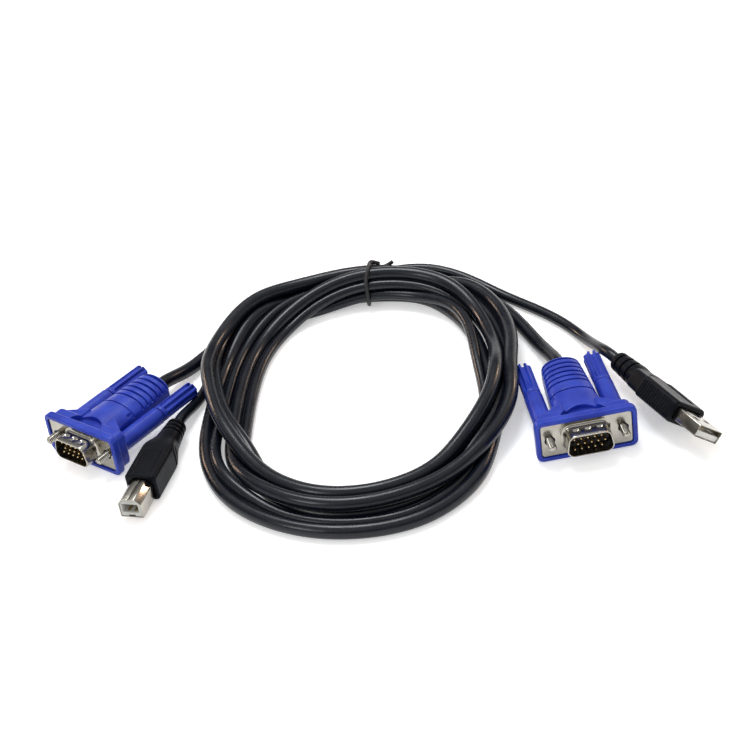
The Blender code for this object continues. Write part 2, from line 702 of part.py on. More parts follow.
def bevelled_square(width, height, bevel):
    """Outline of the USB-B boot: a square with bevelled corners, split for the grips."""
    w = width / 2
    h = height / 2
    return [(w, h - bevel), (w - bevel, h), (0.0, h), (bevel - w, h), (-w, h - bevel),
            (-w, 0.0), (-w, bevel - h), (bevel - w, -h), (0.0, -h), (w - bevel, -h),
            (w, bevel - h), (w, 0.0)]


def build_usb_b(place):
    """USB-B plug: boot, shell and insert."""
    prefix = "usb_b"
    parent = plug_empty(prefix + "_place", place)
    square = bevelled_square(B_BOOT_W, B_BOOT_H, B_BOOT_BEVEL)
    front = bevelled_square(B_BOOT_W - 0.8 * MM, B_BOOT_H - 0.8 * MM, B_BOOT_BEVEL)
    rings = [at(front, 0.0), at(square, 0.5 * MM), at(square, B_BOOT_BODY - B_TAPER - 0.3 * MM)]
    round_end = matched_circle(square, B_NECK_R)
    ribs = 3
    start = B_BOOT_BODY - B_TAPER
    for index in range(ribs * 2):
        share = index / (ribs * 2 - 1)
        y = start + (B_SHOULDER - start) * share
        waist = blend(square, round_end, share * 0.9)
        sink = 0.95 if index % 2 else 1.0
        rings.append(at(scaled(waist, sink, 1.0), y))
    rings += relief_rings(square, B_SHOULDER + 0.8 * MM, B_BOOT_LENGTH, B_NECK_R,
                          B_NECK_END_R, 3)
    boot = solid(rings, prefix + "_boot", "black_pvc", parent)
    seat = usb_b_outline(FIT)
    combine(boot, solid([at(seat, -1 * MM), at(seat, B_SEAT + FIT)], "seat"), "DIFFERENCE")
    top = B_BOOT_H / 2
    half = B_PANEL_W / 2
    panel = solid(box(-half, half, 1.6 * MM, 1.6 * MM + B_PANEL_LENGTH,
                      top - B_PANEL_DEPTH, top + 1 * MM), "panel")
    combine(boot, panel, "DIFFERENCE")

    shell = solid([at(usb_b_outline(0.0), -B_REACH), at(usb_b_outline(0.0), B_SEAT)],
                  prefix + "_shell", "nickel", parent)
    hollow = usb_b_outline(-B_WALL)
    combine(shell, solid([at(hollow, -B_REACH - 1 * MM), at(hollow, B_SEAT + 1 * MM)], "hollow"),
            "DIFFERENCE")
    seam = solid(box(-B_SEAM_W / 2, B_SEAM_W / 2, -B_REACH - 1 * MM, -1.5 * MM,
                     B_SHELL_H / 2 - 0.2 * MM, B_SHELL_H), "seam")
    combine(shell, seam, "DIFFERENCE")

    inset = usb_b_outline(-B_WALL - 0.15 * MM)
    insert = solid([at(inset, 0.15 * MM - B_REACH), at(inset, B_SEAT - 0.5 * MM)],
                   prefix + "_insert", "grey_core", parent)
    front_y = -B_REACH - 1 * MM
    cavity = box(-B_CAVITY_W / 2, B_CAVITY_W / 2, front_y, B_CAVITY_DEPTH - B_REACH,
                 -B_CAVITY_H / 2, B_CAVITY_H / 2)
    keyway = box(-B_KEYWAY_W / 2, B_KEYWAY_W / 2, front_y, 2.4 * MM - B_REACH,
                 -B_SHELL_H, -B_SHELL_H / 2 + B_WALL + 0.8 * MM)
    combine(insert, solid(cavity, "cavity"), "DIFFERENCE")
    combine(insert, solid(keyway, "keyway"), "DIFFERENCE")


# Cords and coil

def smooth_point(points, index, share, closed):
    """Point on a Catmull-Rom curve through the given points."""
    count = len(points)

    def pick(i):
        if closed:
            return points[i % count]
        return points[min(max(i, 0), count - 1)]

    before, here, ahead, after = (pick(index + k) for k in (-1, 0, 1, 2))
    t2 = share * share
    t3 = t2 * share
    return 0.5 * ((2 * here) + (ahead - before) * share
                  + (2 * before - 5 * here + 4 * ahead - after) * t2
                  + (3 * here - before - 3 * ahead + after) * t3)


def build_coil():
    """The tied turns as one lofted ring."""
    stations = COIL_STATIONS
    centres = [Vector((row[0], row[1], 0.0)) * MM for row in stations]
    sizes = [Vector((row[2], row[3], row[4])) * MM for row in stations]
    count = len(stations)
    between = 3
    path = []
    extent = []
    for index in range(count):
        for step in range(between):
            share = step / between
            path.append(smooth_point(centres, index, share, True))
            extent.append(smooth_point(sizes, index, share, True))
    rings = []
    for index, centre in enumerate(path):
        ahead = path[(index + 1) % len(path)]
        behind = path[index - 1]
        along = (ahead - behind).normalized()
        outward = Vector((along.y, -along.x, 0.0))
        half, low, high = extent[index]
        middle = (low + high) / 2
        tall = (high - low) / 2
        ring = []
        for step in range(COIL_AROUND):
            turn = 2 * math.pi * step / COIL_AROUND
            side = math.copysign(abs(math.cos(turn)) ** 0.8, math.cos(turn))
            rise = math.copysign(abs(math.sin(turn)) ** 0.8, math.sin(turn))
            ring.append(centre + outward * half * side
                        + Vector((0.0, 0.0, middle + tall * rise)))
        rings.append(ring)
    bm = bmesh.new()
    loft(bm, rings, closed=True)
    return finish(bm, "cord_coil", "black_pvc")


def tube(name, points, diameter, kind, resolution):
    """A cord as a round tube along evenly read points of a smooth curve."""
    samples = []
    for index in range(len(points) - 1):
        length = (points[index + 1] - points[index]).length
        steps = max(1, round(length / (2.5 * diameter)))
        for step in range(steps):
            samples.append(smooth_point(points, index, step / steps, False))
    samples.append(points[-1])
    curve = bpy.data.curves.new(name, "CURVE")
    curve.dimensions = "3D"
    curve.bevel_depth = diameter / 2
    curve.bevel_resolution = resolution
    curve.use_fill_caps = True
    spline = curve.splines.new("POLY")
    spline.points.add(len(samples) - 1)
    for point, place in zip(spline.points, samples):
        point.co = (*place, 1.0)
    curve.materials.append(material(kind, name))
    made = bpy.data.objects.new(name, curve)
    bpy.context.scene.collection.objects.link(made)
    return made


def branch(name, place, exit_y, route, end, diameter):
    """Free length of one cord, from behind its plug to the coil."""
    start = plug_point(place, (0.0, exit_y + CORD_GAP, 0.0))
    onward = plug_point(place, (0.0, exit_y + CORD_STRAIGHT, 0.0))
    points = [start, onward] + [Vector(p) * MM for p in route] + [Vector(end) * MM]
    return tube(name, points, diameter, "black_pvc", 3)


def build_tie():
    """Wire looped once round the coil, with its two ends lying side by side."""
    half = COIL_STATIONS[0][2] * MM
    low = COIL_STATIONS[0][3] * MM
    high = COIL_STATIONS[0][4] * MM
    centre = Vector((TIE_X, COIL_STATIONS[0][1] * MM, (low + high) / 2))
    reach = half + TIE_D / 2 + 0.45 * MM
    rise = (high - low) / 2 + TIE_D / 2 + 0.35 * MM
    gap = TIE_D * 0.62
    points = []
    steps = 28
    open_turn = math.asin(gap / reach)
    for step in range(steps + 1):
        turn = math.pi / 2 + open_turn + (2 * math.pi - 2 * open_turn) * step / steps
        side = math.copysign(abs(math.cos(turn)) ** 0.9, math.cos(turn))
        lift = math.copysign(abs(math.sin(turn)) ** 0.9, math.sin(turn))
        points.append(centre + Vector((0.0, side * reach, lift * rise)))
    crown = centre.z + rise + 0.2 * MM
    front = [Vector((TIE_X + TIE_TAIL, centre.y - gap, crown - 0.4 * MM)),
             Vector((TIE_X + TIE_TAIL * 0.5, centre.y - gap, crown)),
             Vector((TIE_X + 1.6 * MM, centre.y - gap, crown + 0.1 * MM))]
    rear = [Vector((TIE_X + 1.6 * MM, centre.y + gap, crown + 0.1 * MM)),
            Vector((TIE_X + TIE_TAIL * 0.4, centre.y + gap, crown + 0.1 * MM)),
            Vector((TIE_X + TIE_TAIL * 0.75, centre.y + gap, crown))]
    return tube("wire_tie", front + points + rear, TIE_D, "tie_wire", 1)


def main():
    """Build the whole cable."""
    for old in list(bpy.data.objects):
        bpy.data.objects.remove(old)
    build_vga("vga_left", VGA_LEFT)
    build_vga("vga_right", VGA_RIGHT)
    build_usb_a(USB_A)
    build_usb_b(USB_B)
    build_coil()
    branch("vga_cord_left", VGA_LEFT, HOOD_LENGTH, VGA_LEFT_ROUTE, VGA_LEFT_END, VGA_CORD_D)
    branch("vga_cord_right", VGA_RIGHT, HOOD_LENGTH, VGA_RIGHT_ROUTE, VGA_RIGHT_END,
           VGA_CORD_D)
    branch("usb_cord_left", USB_B, B_BOOT_LENGTH, USB_LEFT_ROUTE, USB_LEFT_END, USB_CORD_D)
    branch("usb_cord_right", USB_A, A_BOOT_LENGTH, USB_RIGHT_ROUTE, USB_RIGHT_END,
           USB_CORD_D)
    build_tie()
    cable = bpy.data.objects.new("cable_place", None)
    bpy.context.scene.collection.objects.link(cable)
    cable.location = -Vector(ORIGIN) * MM
    for made in bpy.data.objects:
        if made is not cable and made.parent is None:
            made.parent = cable


main()
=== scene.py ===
# %% [markdown]
# # A monitor and USB cord, coiled and tied
# The part is a pair of cords moulded side by side: a thick one between two
# 15-pin monitor plugs, and a thin one between a flat and a square USB plug.
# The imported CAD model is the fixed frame. This script dresses it: every piece
# is made in its plug's own frame, in millimetres, and then laid in its place.

import json
import math

import bmesh
import bpy
import numpy as np
from mathutils import Euler, Matrix, Vector

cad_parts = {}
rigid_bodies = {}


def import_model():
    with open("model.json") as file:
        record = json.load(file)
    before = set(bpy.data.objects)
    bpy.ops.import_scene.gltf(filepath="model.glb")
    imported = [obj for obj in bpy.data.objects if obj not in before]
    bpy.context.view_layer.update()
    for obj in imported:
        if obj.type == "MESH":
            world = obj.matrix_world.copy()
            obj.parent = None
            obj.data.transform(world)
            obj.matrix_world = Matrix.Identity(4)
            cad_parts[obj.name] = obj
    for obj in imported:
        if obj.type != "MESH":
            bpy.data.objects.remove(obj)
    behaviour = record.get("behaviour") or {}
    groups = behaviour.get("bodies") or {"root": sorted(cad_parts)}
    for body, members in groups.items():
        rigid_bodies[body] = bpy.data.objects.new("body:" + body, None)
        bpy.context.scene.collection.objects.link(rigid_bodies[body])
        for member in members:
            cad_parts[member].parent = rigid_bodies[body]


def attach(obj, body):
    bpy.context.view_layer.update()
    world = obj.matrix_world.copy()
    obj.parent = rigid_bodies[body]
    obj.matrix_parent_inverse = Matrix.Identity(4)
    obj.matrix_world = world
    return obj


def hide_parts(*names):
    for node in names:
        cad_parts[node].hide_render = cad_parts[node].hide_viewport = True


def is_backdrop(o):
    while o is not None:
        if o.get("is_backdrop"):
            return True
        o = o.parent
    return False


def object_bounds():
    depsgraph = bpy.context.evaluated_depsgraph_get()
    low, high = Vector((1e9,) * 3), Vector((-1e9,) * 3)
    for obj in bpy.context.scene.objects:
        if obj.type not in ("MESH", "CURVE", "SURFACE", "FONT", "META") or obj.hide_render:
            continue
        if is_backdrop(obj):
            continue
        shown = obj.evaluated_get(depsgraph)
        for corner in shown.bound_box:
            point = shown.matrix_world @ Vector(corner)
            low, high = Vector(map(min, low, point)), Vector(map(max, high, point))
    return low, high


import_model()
cad_box = [[float(v) for v in corner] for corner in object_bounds()]
MM = 0.001

# %% [markdown]
# ## Camera
# The photograph looks down at about 36 degrees from in front of the coil, and
# it is rolled a little. A long lens keeps the plugs at both ends alike in size.

# %% Camera
CAMERA_PLACE = (4.83, -431.1, 329.98)
CAMERA_DIVE = 35.7
CAMERA_ROLL = 9.38
CAMERA_LENS = 73.5

camera_data = bpy.data.cameras.new("camera")
camera_data.lens = CAMERA_LENS
camera_data.sensor_width = 36.0
camera_data.clip_start = 0.01
camera = bpy.data.objects.new("camera", camera_data)
bpy.context.scene.collection.objects.link(camera)
level = Matrix.Rotation(math.radians(90 - CAMERA_DIVE), 4, "X")
rolled = level @ Matrix.Rotation(math.radians(-CAMERA_ROLL), 4, "Z")
camera.matrix_world = Matrix.Translation(Vector(CAMERA_PLACE) * MM) @ rolled
bpy.context.scene.camera = camera
print("camera at", [round(v, 4) for v in camera.location])

# %% [markdown]
# ## Where the plugs lie
# These are the places that the CAD source gives its plugs: x, y, z in
# millimetres, then heading, nose-up pitch and roll in degrees. In a plug's own
# frame the mouth looks toward -Y and the cord leaves toward +Y.

# %% Places
ORIGIN = Vector((-4.83, -28.30, 0.02))
VGA_RIGHT = (66.2, -64.3, 8.1, 2.0, 2.5, 0.0)
VGA_LEFT = (-106.1, -24.0, 8.1, -41.4, 2.5, 0.0)
USB_A = (100.0, -63.1, 7.62, 22.7, -1.5, 42.2)
USB_B = (-84.5, -50.8, 5.65, -19.7, 1.0, 0.0)


def plug_matrix(place):
    """Matrix from a plug's own frame to the coil's, both in millimetres."""
    x, y, z, heading, pitch, roll = place
    turn = Euler((math.radians(-pitch), math.radians(roll), math.radians(heading)), "YXZ")
    return Matrix.Translation((x, y, z)) @ turn.to_matrix().to_4x4()


def to_frame(matrix):
    """Matrix from millimetres around the coil to the frame's metres."""
    return Matrix.Scale(MM, 4) @ Matrix.Translation(-ORIGIN) @ matrix


mouth_place = to_frame(plug_matrix(VGA_RIGHT)).translation
print("right plug's mouth at", [round(v, 4) for v in mouth_place])

# %% [markdown]
# ## How the cords lie
# The two cords keep their moulded distance all the way round. I read the lay
# off the photograph: the coil is three passes of the pair around one ring, and
# each row below says where the thick cord is at one station of that ring, how
# high it lies, and in which direction the thin cord sits beside it.
# The numbers only have to be roughly right, because the cords settle after.

# %% The lay
THICK_D = 5.2
THIN_D = 4.0
TWIN = 4.62
RING = np.array([
    (4, 51), (26, 44), (39, 31), (44.5, 12), (44.3, -6), (42.4, -24), (37, -41),
    (30, -54), (21, -68), (7, -78.5), (-10, -81), (-27, -77.5), (-41, -68),
    (-50.5, -55), (-55.5, -40), (-56, -23), (-53.2, -3), (-50.5, 15), (-43, 33),
    (-29, 45.5), (-13, 51)], float)

# station on the ring, outward offset, height, direction of the thin cord in degrees
LAY = np.array([
    (18.7, 4.0, 2.6, 175), (19.4, 0.8, 2.6, 168), (20.2, -1.0, 2.8, 150),
    (21, -1.7, 3.9, 138), (22, -2.0, 3.2, 130), (23, -5.0, 2.8, 108), (24, -6.4, 2.7, 96),
    (24.8, -3.4, 2.7, 130), (25.5, -0.4, 2.7, 160), (26, 0.6, 2.7, 172),
    (27, 2.0, 2.6, 178), (28, 2.8, 2.6, 180), (28.6, 5.0, 2.6, 180), (29.2, 6.6, 2.6, 180),
    (30, 7.4, 2.6, 180), (31, 6.4, 2.6, 180), (32, 5.9, 2.6, 180), (33, 5.8, 2.6, 172),
    (34, 6.2, 2.6, 120), (35, 6.2, 2.6, 118), (36, 6.2, 2.6, 150), (37, 5.4, 2.6, 165),
    (38, 5.0, 2.6, 165), (39, 4.6, 3.2, 158), (40, 4.2, 3.8, 148), (41, 3.8, 4.4, 140),
    (42, 3.5, 5.0, 135), (43, 5.4, 6.0, 155), (44, 6.4, 7.4, 182), (45, 6.4, 7.6, 195),
    (45.8, 6.0, 8.6, 215), (46.7, 5.4, 9.6, 230), (48, 5.4, 9.0, 232), (49, 4.6, 8.2, 238),
    (50, 0.6, 7.2, 255), (51, -2.4, 7.0, 268), (52, -2.7, 6.8, 270), (53, -2.8, 6.8, 270),
    (54, -3.0, 6.6, 262), (55, -2.8, 6.0, 250), (56, -3.6, 3.8, 228), (57, -3.6, 2.8, 196),
    (58, -3.0, 2.7, 184), (59, -3.6, 2.8, 186), (60, -3.8, 4.2, 200), (61, -1.8, 6.6, 220),
    (62, -1.4, 10.6, 224),
    (63, -1.2, 13.6, 222), (64, 0.3, 11.0, 224), (65, -0.6, 9.0, 244), (66, 0.9, 6.8, 264),
    (67, 0.6, 7.4, 262), (67.8, 0.4, 11.4, 238), (69, -0.2, 11.0, 240), (70, -1.4, 9.4, 250),
    (71, -5.0, 7.4, 266), (72, -7.6, 6.8, 270), (73, -7.9, 6.6, 270), (74, -7.6, 6.6, 270),
    (75, -7.6, 6.6, 270), (76, -7.2, 7.0, 268), (77, -5.6, 8.4, 256), (78, 0.6, 11.2, 238),
    (79, 6.2, 11.2, 246), (80, 8.2, 9.8, 256), (81, 7.6, 10.4, 275), (82, 5.4, 11.2, 292),
    (83, 4.2, 11.6, 306), (84, 3.4, 11.8, 314)], float)

# free lengths between the plugs and the coil
VGA_LEFT_ROUTE = ((-73.6, 13, 3.6), (-67, 20.8, 2.7), (-60.9, 27.7, 2.6), (-54.5, 33.4, 2.6),
                  (-47.5, 37.5, 2.6))
USB_LEFT_ROUTE = ((-70.1, -9.6, 2.6), (-66.6, -3.6, 2.1), (-62.3, 4.3, 2.0), (-58.5, 12.5, 2.0),
                  (-55.5, 20.5, 2.0), (-51.5, 28.5, 2.0), (-45.6, 34.2, 2.0))
VGA_RIGHT_ROUTE = ((13, 55.6, 10.4), (22, 54, 6.8), (31.5, 49.6, 3.2), (40, 42.4, 2.7),
                   (47.2, 34, 2.7), (52.6, 25, 2.6), (55.5, 16.8, 2.6), (58.2, 9, 2.6),
                   (60.2, 1.5, 2.7))
USB_RIGHT_ROUTE = ((13, 57.4, 7.4), (31, 52.6, 6.2), (46, 42.4, 4.6), (59.3, 28.6, 2.3),
                   (71.6, 12.0, 2.0), (77.1, 1.4, 2.4))
VGA_EXIT = 39.35        # where each cord leaves its plug, along the plug's axis
USB_A_EXIT = 38.85
USB_B_EXIT = 35.15
STRAIGHT = 5.0
STEP = 2.2              # distance between the points that settle


def unit(rows):
    """Each row scaled to length one."""
    return rows / np.linalg.norm(rows, axis=-1, keepdims=True)


def along(points):
    """Distance along a line at each of its points."""
    steps = np.linalg.norm(np.diff(points, axis=0), axis=1)
    return np.concatenate([[0.0], np.cumsum(steps)])


def evenly(points, step):
    """The same line with evenly spaced points."""
    distance = along(points)
    count = max(2, round(distance[-1] / step))
    wanted = np.linspace(0.0, distance[-1], count + 1)
    return np.stack([np.interp(wanted, distance, points[:, k]) for k in range(3)], 1)


def through(a, b, c, d, t):
    """Point of a Catmull-Rom curve between b and c."""
    return 0.5 * (2 * b + (c - a) * t + (2 * a - 5 * b + 4 * c - d) * t * t
                  + (3 * b - a - 3 * c + d) * t ** 3)


def rounded_line(points, step=1.0):
    """Catmull-Rom line through the points."""
    points = np.asarray(points, float)
    last = len(points) - 1
    found = []
    for i in range(last):
        a, b, c, d = points[max(i - 1, 0)], points[i], points[i + 1], points[min(i + 2, last)]
        count = max(1, round(np.linalg.norm(c - b) / step))
        found += [through(a, b, c, d, t) for t in np.arange(count) / count]
    found.append(points[-1])
    return np.array(found)


def ring_place(station):
    """Point of the ring at a station, and the direction outward there."""
    i = math.floor(station)
    t = station - i
    a, b, c, d = (RING[(i + k) % len(RING)] for k in (-1, 0, 1, 2))
    ahead = unit(c - a + 2 * (2 * a - 5 * b + 4 * c - d) * t
                 + 3 * (3 * b - a - 3 * c + d) * t * t)
    return through(a, b, c, d, t), np.array([-ahead[1], ahead[0]])


def eased(rows, column, wanted):
    """Smooth values between the rows of the lay."""
    x, y = rows[:, 0], rows[:, column]
    gap = np.diff(x)
    slope = np.diff(y) / gap
    lean = np.concatenate([[slope[0]], (slope[:-1] * gap[1:] + slope[1:] * gap[:-1])
                           / (gap[1:] + gap[:-1]), [slope[-1]]])
    k = np.clip(np.searchsorted(x, wanted, side="right") - 1, 0, len(gap) - 1)
    t = (wanted - x[k]) / gap[k]
    return (y[k] * (1 + 2 * t) * (1 - t) ** 2 + lean[k] * gap[k] * t * (1 - t) ** 2
            + y[k + 1] * t * t * (3 - 2 * t) + lean[k + 1] * gap[k] * t * t * (t - 1))


def plug_line(place, exit_y):
    """The straight start of a cord behind its plug."""
    matrix = plug_matrix(place)
    return [tuple(matrix @ Vector((0.0, exit_y + reach, 0.0))) for reach in (0.0, STRAIGHT)]


def whole_routes():
    """Both cords from plug to plug, and which of their points lie side by side."""
    stations = np.arange(LAY[0, 0], LAY[-1, 0] + 1e-6, 0.02)
    offset, height, roll = (eased(LAY, column, stations) for column in (1, 2, 3))
    roll = np.radians(roll)
    thick, thin = [], []
    for s, u, z, turn in zip(stations, offset, height, roll):
        place, outward = ring_place(s)
        thick.append([*(place + outward * u), z])
        beside = place + outward * (u + TWIN * math.cos(turn))
        thin.append([*beside, z + TWIN * math.sin(turn)])
    thick, thin = np.array(thick), np.array(thin)
    middle = along((thick + thin) / 2)
    wanted = np.linspace(0.0, middle[-1], int(middle[-1] / STEP) + 1)
    thick, thin = (np.stack([np.interp(wanted, middle, line[:, k]) for k in range(3)], 1)
                   for line in (thick, thin))
    first, last = [], []
    for place, exit_y, route, line in ((VGA_LEFT, VGA_EXIT, VGA_LEFT_ROUTE, thick),
                                       (USB_B, USB_B_EXIT, USB_LEFT_ROUTE, thin)):
        free = plug_line(place, exit_y) + list(route) + [tuple(line[0])]
        first.append(evenly(rounded_line(free), STEP)[:-1])
    for place, exit_y, route, line in ((VGA_RIGHT, VGA_EXIT, VGA_RIGHT_ROUTE, thick),
                                       (USB_A, USB_A_EXIT, USB_RIGHT_ROUTE, thin)):
        free = [tuple(line[-1])] + list(route) + plug_line(place, exit_y)[::-1]
        last.append(evenly(rounded_line(free), STEP)[1:])
    twins = np.arange(len(thick))
    return (np.vstack([first[0], thick, last[0]]), np.vstack([first[1], thin, last[1]]),
            twins + len(first[0]), twins + len(first[1]))


route_thick, route_thin, twin_thick, twin_thin = whole_routes()
print("routes:", len(route_thick), "and", len(route_thin), "points")

# %% [markdown]
# ## Let the cords settle
# A drawn lay always has places where cords run into each other. So the points
# now push apart wherever two cords are closer than their radii allow, keep
# their twin at the moulded distance, bend smoothly, and sink to the floor.
# It is a small position-based simulation in numpy, and it has no random part.

# %% Settle
KNOB_RADIUS = 3.4       # the cords keep clear of the right plug's left knob
KNOB_LINE = ((-12.495, 26.3, 0.0), (-12.495, 41.9, 0.0))
ROUNDS = 420
NEW_PAIRS = 15          # rounds between two searches for cords that may meet
SEARCH = 3.0            # how much further apart than touching the search still looks
KINDRED = 7             # points this near along one cord never push each other
SKIN = 0.06             # kept between two cords
LONGEST = 1.3           # two points push only this far along the cord
SINK = 0.015            # how far the cords sink in each round
PULLS = (0.03, 0.01)    # how strongly they keep to the drawn lay, at first and later
FLOOR_GAP = 0.05
STIFFNESS = 1.5
LAST_STIFFNESS = 8.0


def stiffener(held, stiffness):
    """Matrix that evens out the bending of a line and leaves its held points."""
    count = len(held)
    bend = np.zeros((count - 2, count))
    for k in range(count - 2):
        bend[k, k:k + 3] = (1.0, -2.0, 1.0)
    system = np.eye(count) + stiffness * bend.T @ bend
    system[held] = np.eye(count)[held]
    return np.linalg.inv(system)


def settle(thick, thin, pair_a, pair_b):
    """Push the cords apart until they rest on the floor and on each other."""
    count = len(thick)
    points = np.vstack([thick, thin])
    total = len(points)
    goal = points.copy()
    radius = np.where(np.arange(total) < count, THICK_D / 2, THIN_D / 2)
    which = (np.arange(total) >= count).astype(int)
    order = np.concatenate([np.arange(count), np.arange(total - count)])
    pair_b = pair_b + count
    mate = np.full(total, -1)
    mate[pair_a], mate[pair_b] = pair_b, pair_a
    held = np.zeros(total, bool)
    held[[0, 1, count - 2, count - 1, count, count + 1, total - 2, total - 1]] = True
    knob = [np.array(plug_matrix(VGA_RIGHT) @ Vector(p)) for p in KNOB_LINE]
    knob_way = (knob[1] - knob[0]) / np.linalg.norm(knob[1] - knob[0])
    knob_length = np.linalg.norm(knob[1] - knob[0])
    cords = [(slice(0, count), stiffener(held[:count], STIFFNESS)),
             (slice(count, total), stiffener(held[count:], STIFFNESS))]
    for turn in range(ROUNDS):
        if turn % NEW_PAIRS == 0:
            gap = points[:, None, :] - points[None, :, :]
            reach = radius[:, None] + radius[None, :] + SEARCH
            near = (gap ** 2).sum(2) < reach ** 2
            same = ((which[:, None] == which[None, :])
                    & (abs(order[:, None] - order[None, :]) < KINDRED))
            beside = (mate[:, None] >= 0) & (abs(mate[:, None] - np.arange(total)[None, :]) <= 3)
            one, other = np.where(np.triu(near & ~same & ~beside & ~beside.T, 1))
        ahead = np.zeros_like(points)
        for part, _ in cords:
            ahead[part] = np.gradient(points[part], axis=0)
        ahead = unit(ahead)
        gap = points[one] - points[other]
        lengthwise = (gap * ahead[one]).sum(1)
        across = gap - ahead[one] * lengthwise[:, None]
        apart = np.linalg.norm(across, axis=1) + 1e-9
        needed = radius[one] + radius[other] + SKIN
        hit = (abs(lengthwise) < LONGEST) & (apart < needed)
        push = ((needed - apart) / apart)[hit, None] * across[hit] * 0.5
        move = np.zeros_like(points)
        shared = np.zeros(total)
        np.add.at(move, one[hit], push)
        np.add.at(move, other[hit], -push)
        np.add.at(shared, one[hit], 1)
        np.add.at(shared, other[hit], 1)
        points = points + move / np.maximum(shared, 1)[:, None]
        link = points[pair_b] - points[pair_a]
        size = np.linalg.norm(link, axis=1)[:, None]
        points[pair_a] += link * (size - TWIN) / size * 0.5
        points[pair_b] -= link * (size - TWIN) / size * 0.5
        points += PULLS[turn >= ROUNDS * 0.7] * (goal - points)
        for part, stiffen in cords:
            points[part] = stiffen @ points[part]
        points[~held, 2] -= SINK
        points[:, 2] = np.maximum(points[:, 2], radius + FLOOR_GAP)
        t = np.clip((points - knob[0]) @ knob_way, 0, knob_length)
        away = points - knob[0] - t[:, None] * knob_way
        size = np.linalg.norm(away, axis=1)
        hit = (size < radius + KNOB_RADIUS) & ~held
        points[hit] += away[hit] * ((radius + KNOB_RADIUS - size) / size)[hit, None]
        points[held] = goal[held]
    return [stiffener(held[part], LAST_STIFFNESS) @ points[part] for part, _ in cords]


def tightest(points):
    """Radius of the tightest bend."""
    back, on = points[1:-1] - points[:-2], points[2:] - points[1:-1]
    a, b = np.linalg.norm(back, axis=1), np.linalg.norm(on, axis=1)
    turn = np.arccos(np.clip((back * on).sum(1) / a / b, -1, 1))
    return ((a + b) / 2 / np.maximum(turn, 1e-6)).min()


thick_line, thin_line = settle(route_thick, route_thin, twin_thick, twin_thin)
for label, line in (("thick", thick_line), ("thin", thin_line)):
    print(label, "cord:", round(along(line)[-1], 1), "mm, tightest bend", round(tightest(line), 1),
          "mm, highest point", round(line[:, 2].max(), 1), "mm")

# %% [markdown]
# ## Building tools
# A plug is moulded plastic and pressed metal. Each form is made from lofted
# outlines and cut with exact Booleans. Moulded pieces get their soft edges from
# a fine voxel remesh and a little smoothing, as a polished mould would give.

# %% Outlines and lofts
def shown(name, data):
    """Object in the scene around some data."""
    made = bpy.data.objects.new(name, data)
    bpy.context.scene.collection.objects.link(made)
    return made


def solid(name, *lofts, loop=False):
    """Closed lofts in millimetres: capped at both ends, or joined into a loop."""
    bm = bmesh.new()
    for rings in lofts:
        made = [[bm.verts.new(p) for p in ring] for ring in rings]
        for here, ahead in zip(made, made[1:] + (made[:1] if loop else [])):
            for i in range(len(here)):
                j = (i + 1) % len(here)
                bm.faces.new((here[i], here[j], ahead[j], ahead[i]))
        if not loop:
            bm.faces.new(made[0])
            bm.faces.new(made[-1])
    bmesh.ops.recalc_face_normals(bm, faces=bm.faces)
    mesh = bpy.data.meshes.new(name)
    bm.to_mesh(mesh)
    bm.free()
    return shown(name, mesh)


def turned(corner, step, steps, radius, x, z):
    """Point on the round corner of an outline, a quarter turn for each corner."""
    turn = math.radians(90 * corner + 90 * step / steps)
    return (x + radius * math.cos(turn), z + radius * math.sin(turn))


CORNERS = tuple(enumerate(((1, 1), (-1, 1), (-1, -1), (1, -1))))


def rounded_rect(width, height, radius, steps=8):
    """Outline (x, z) of a rectangle with rounded corners."""
    return [turned(corner, step, steps, radius, sx * (width / 2 - radius),
                   sz * (height / 2 - radius))
            for corner, (sx, sz) in CORNERS for step in range(steps + 1)]


def circle(radius, count=48, centre=(0.0, 0.0)):
    """Outline (x, z) of a circle."""
    turns = [2 * math.pi * k / count for k in range(count)]
    return [(centre[0] + radius * math.cos(t), centre[1] + radius * math.sin(t)) for t in turns]


def at(outline, y):
    """Put an outline at y along the plug's axis."""
    return [Vector((x, y, z)) for x, z in outline]


def prism(outline, start, end):
    """Rings of an outline carried along the plug's axis."""
    return [at(outline, start), at(outline, end)]


def slab(plan, low, high):
    """Rings of a plan (x, y) carried from one height to another."""
    return [[Vector((x, y, z)) for x, y in plan] for z in (low, high)]


def box(x0, x1, y0, y1, z0, z1):
    """Rings of a box between two y planes."""
    return prism([(x1, z1), (x0, z1), (x0, z0), (x1, z0)], y0, y1)


def scaled(outline, width_by, height_by):
    """Scale an outline about the axis."""
    return [(x * width_by, z * height_by) for x, z in outline]


def mixed(first, second, share):
    """Mix two outlines that have the same number of points."""
    return [(a + (c - a) * share, b + (d - b) * share) for (a, b), (c, d) in zip(first, second)]


def rounder(outline, radius):
    """Circle whose points lie in the directions of another outline's points."""
    return [(x * radius / math.hypot(x, z), z * radius / math.hypot(x, z)) for x, z in outline]


def refined(outline, parts=8, longest=1.2):
    """Split the long sides of an outline, so that a round form can follow all round."""
    points = []
    for (x0, z0), (x1, z1) in zip(outline, outline[1:] + outline[:1]):
        count = parts if math.hypot(x1 - x0, z1 - z0) > longest else 1
        points += [(x0 + (x1 - x0) * k / count, z0 + (z1 - z0) * k / count) for k in range(count)]
    return points


def modified(obj, kind, **settings):
    """Add a modifier to an object and keep the result as its plain mesh."""
    step = obj.modifiers.new(kind.lower(), kind)
    for key, value in settings.items():
        setattr(step, key, value)
    return baked(obj)


def baked(obj):
    """Apply whatever modifiers the object has."""
    bpy.context.view_layer.update()
    graph = bpy.context.evaluated_depsgraph_get()
    mesh = bpy.data.meshes.new_from_object(obj.evaluated_get(graph))
    obj.modifiers.clear()
    old, obj.data = obj.data, mesh
    bpy.data.meshes.remove(old)
    return obj


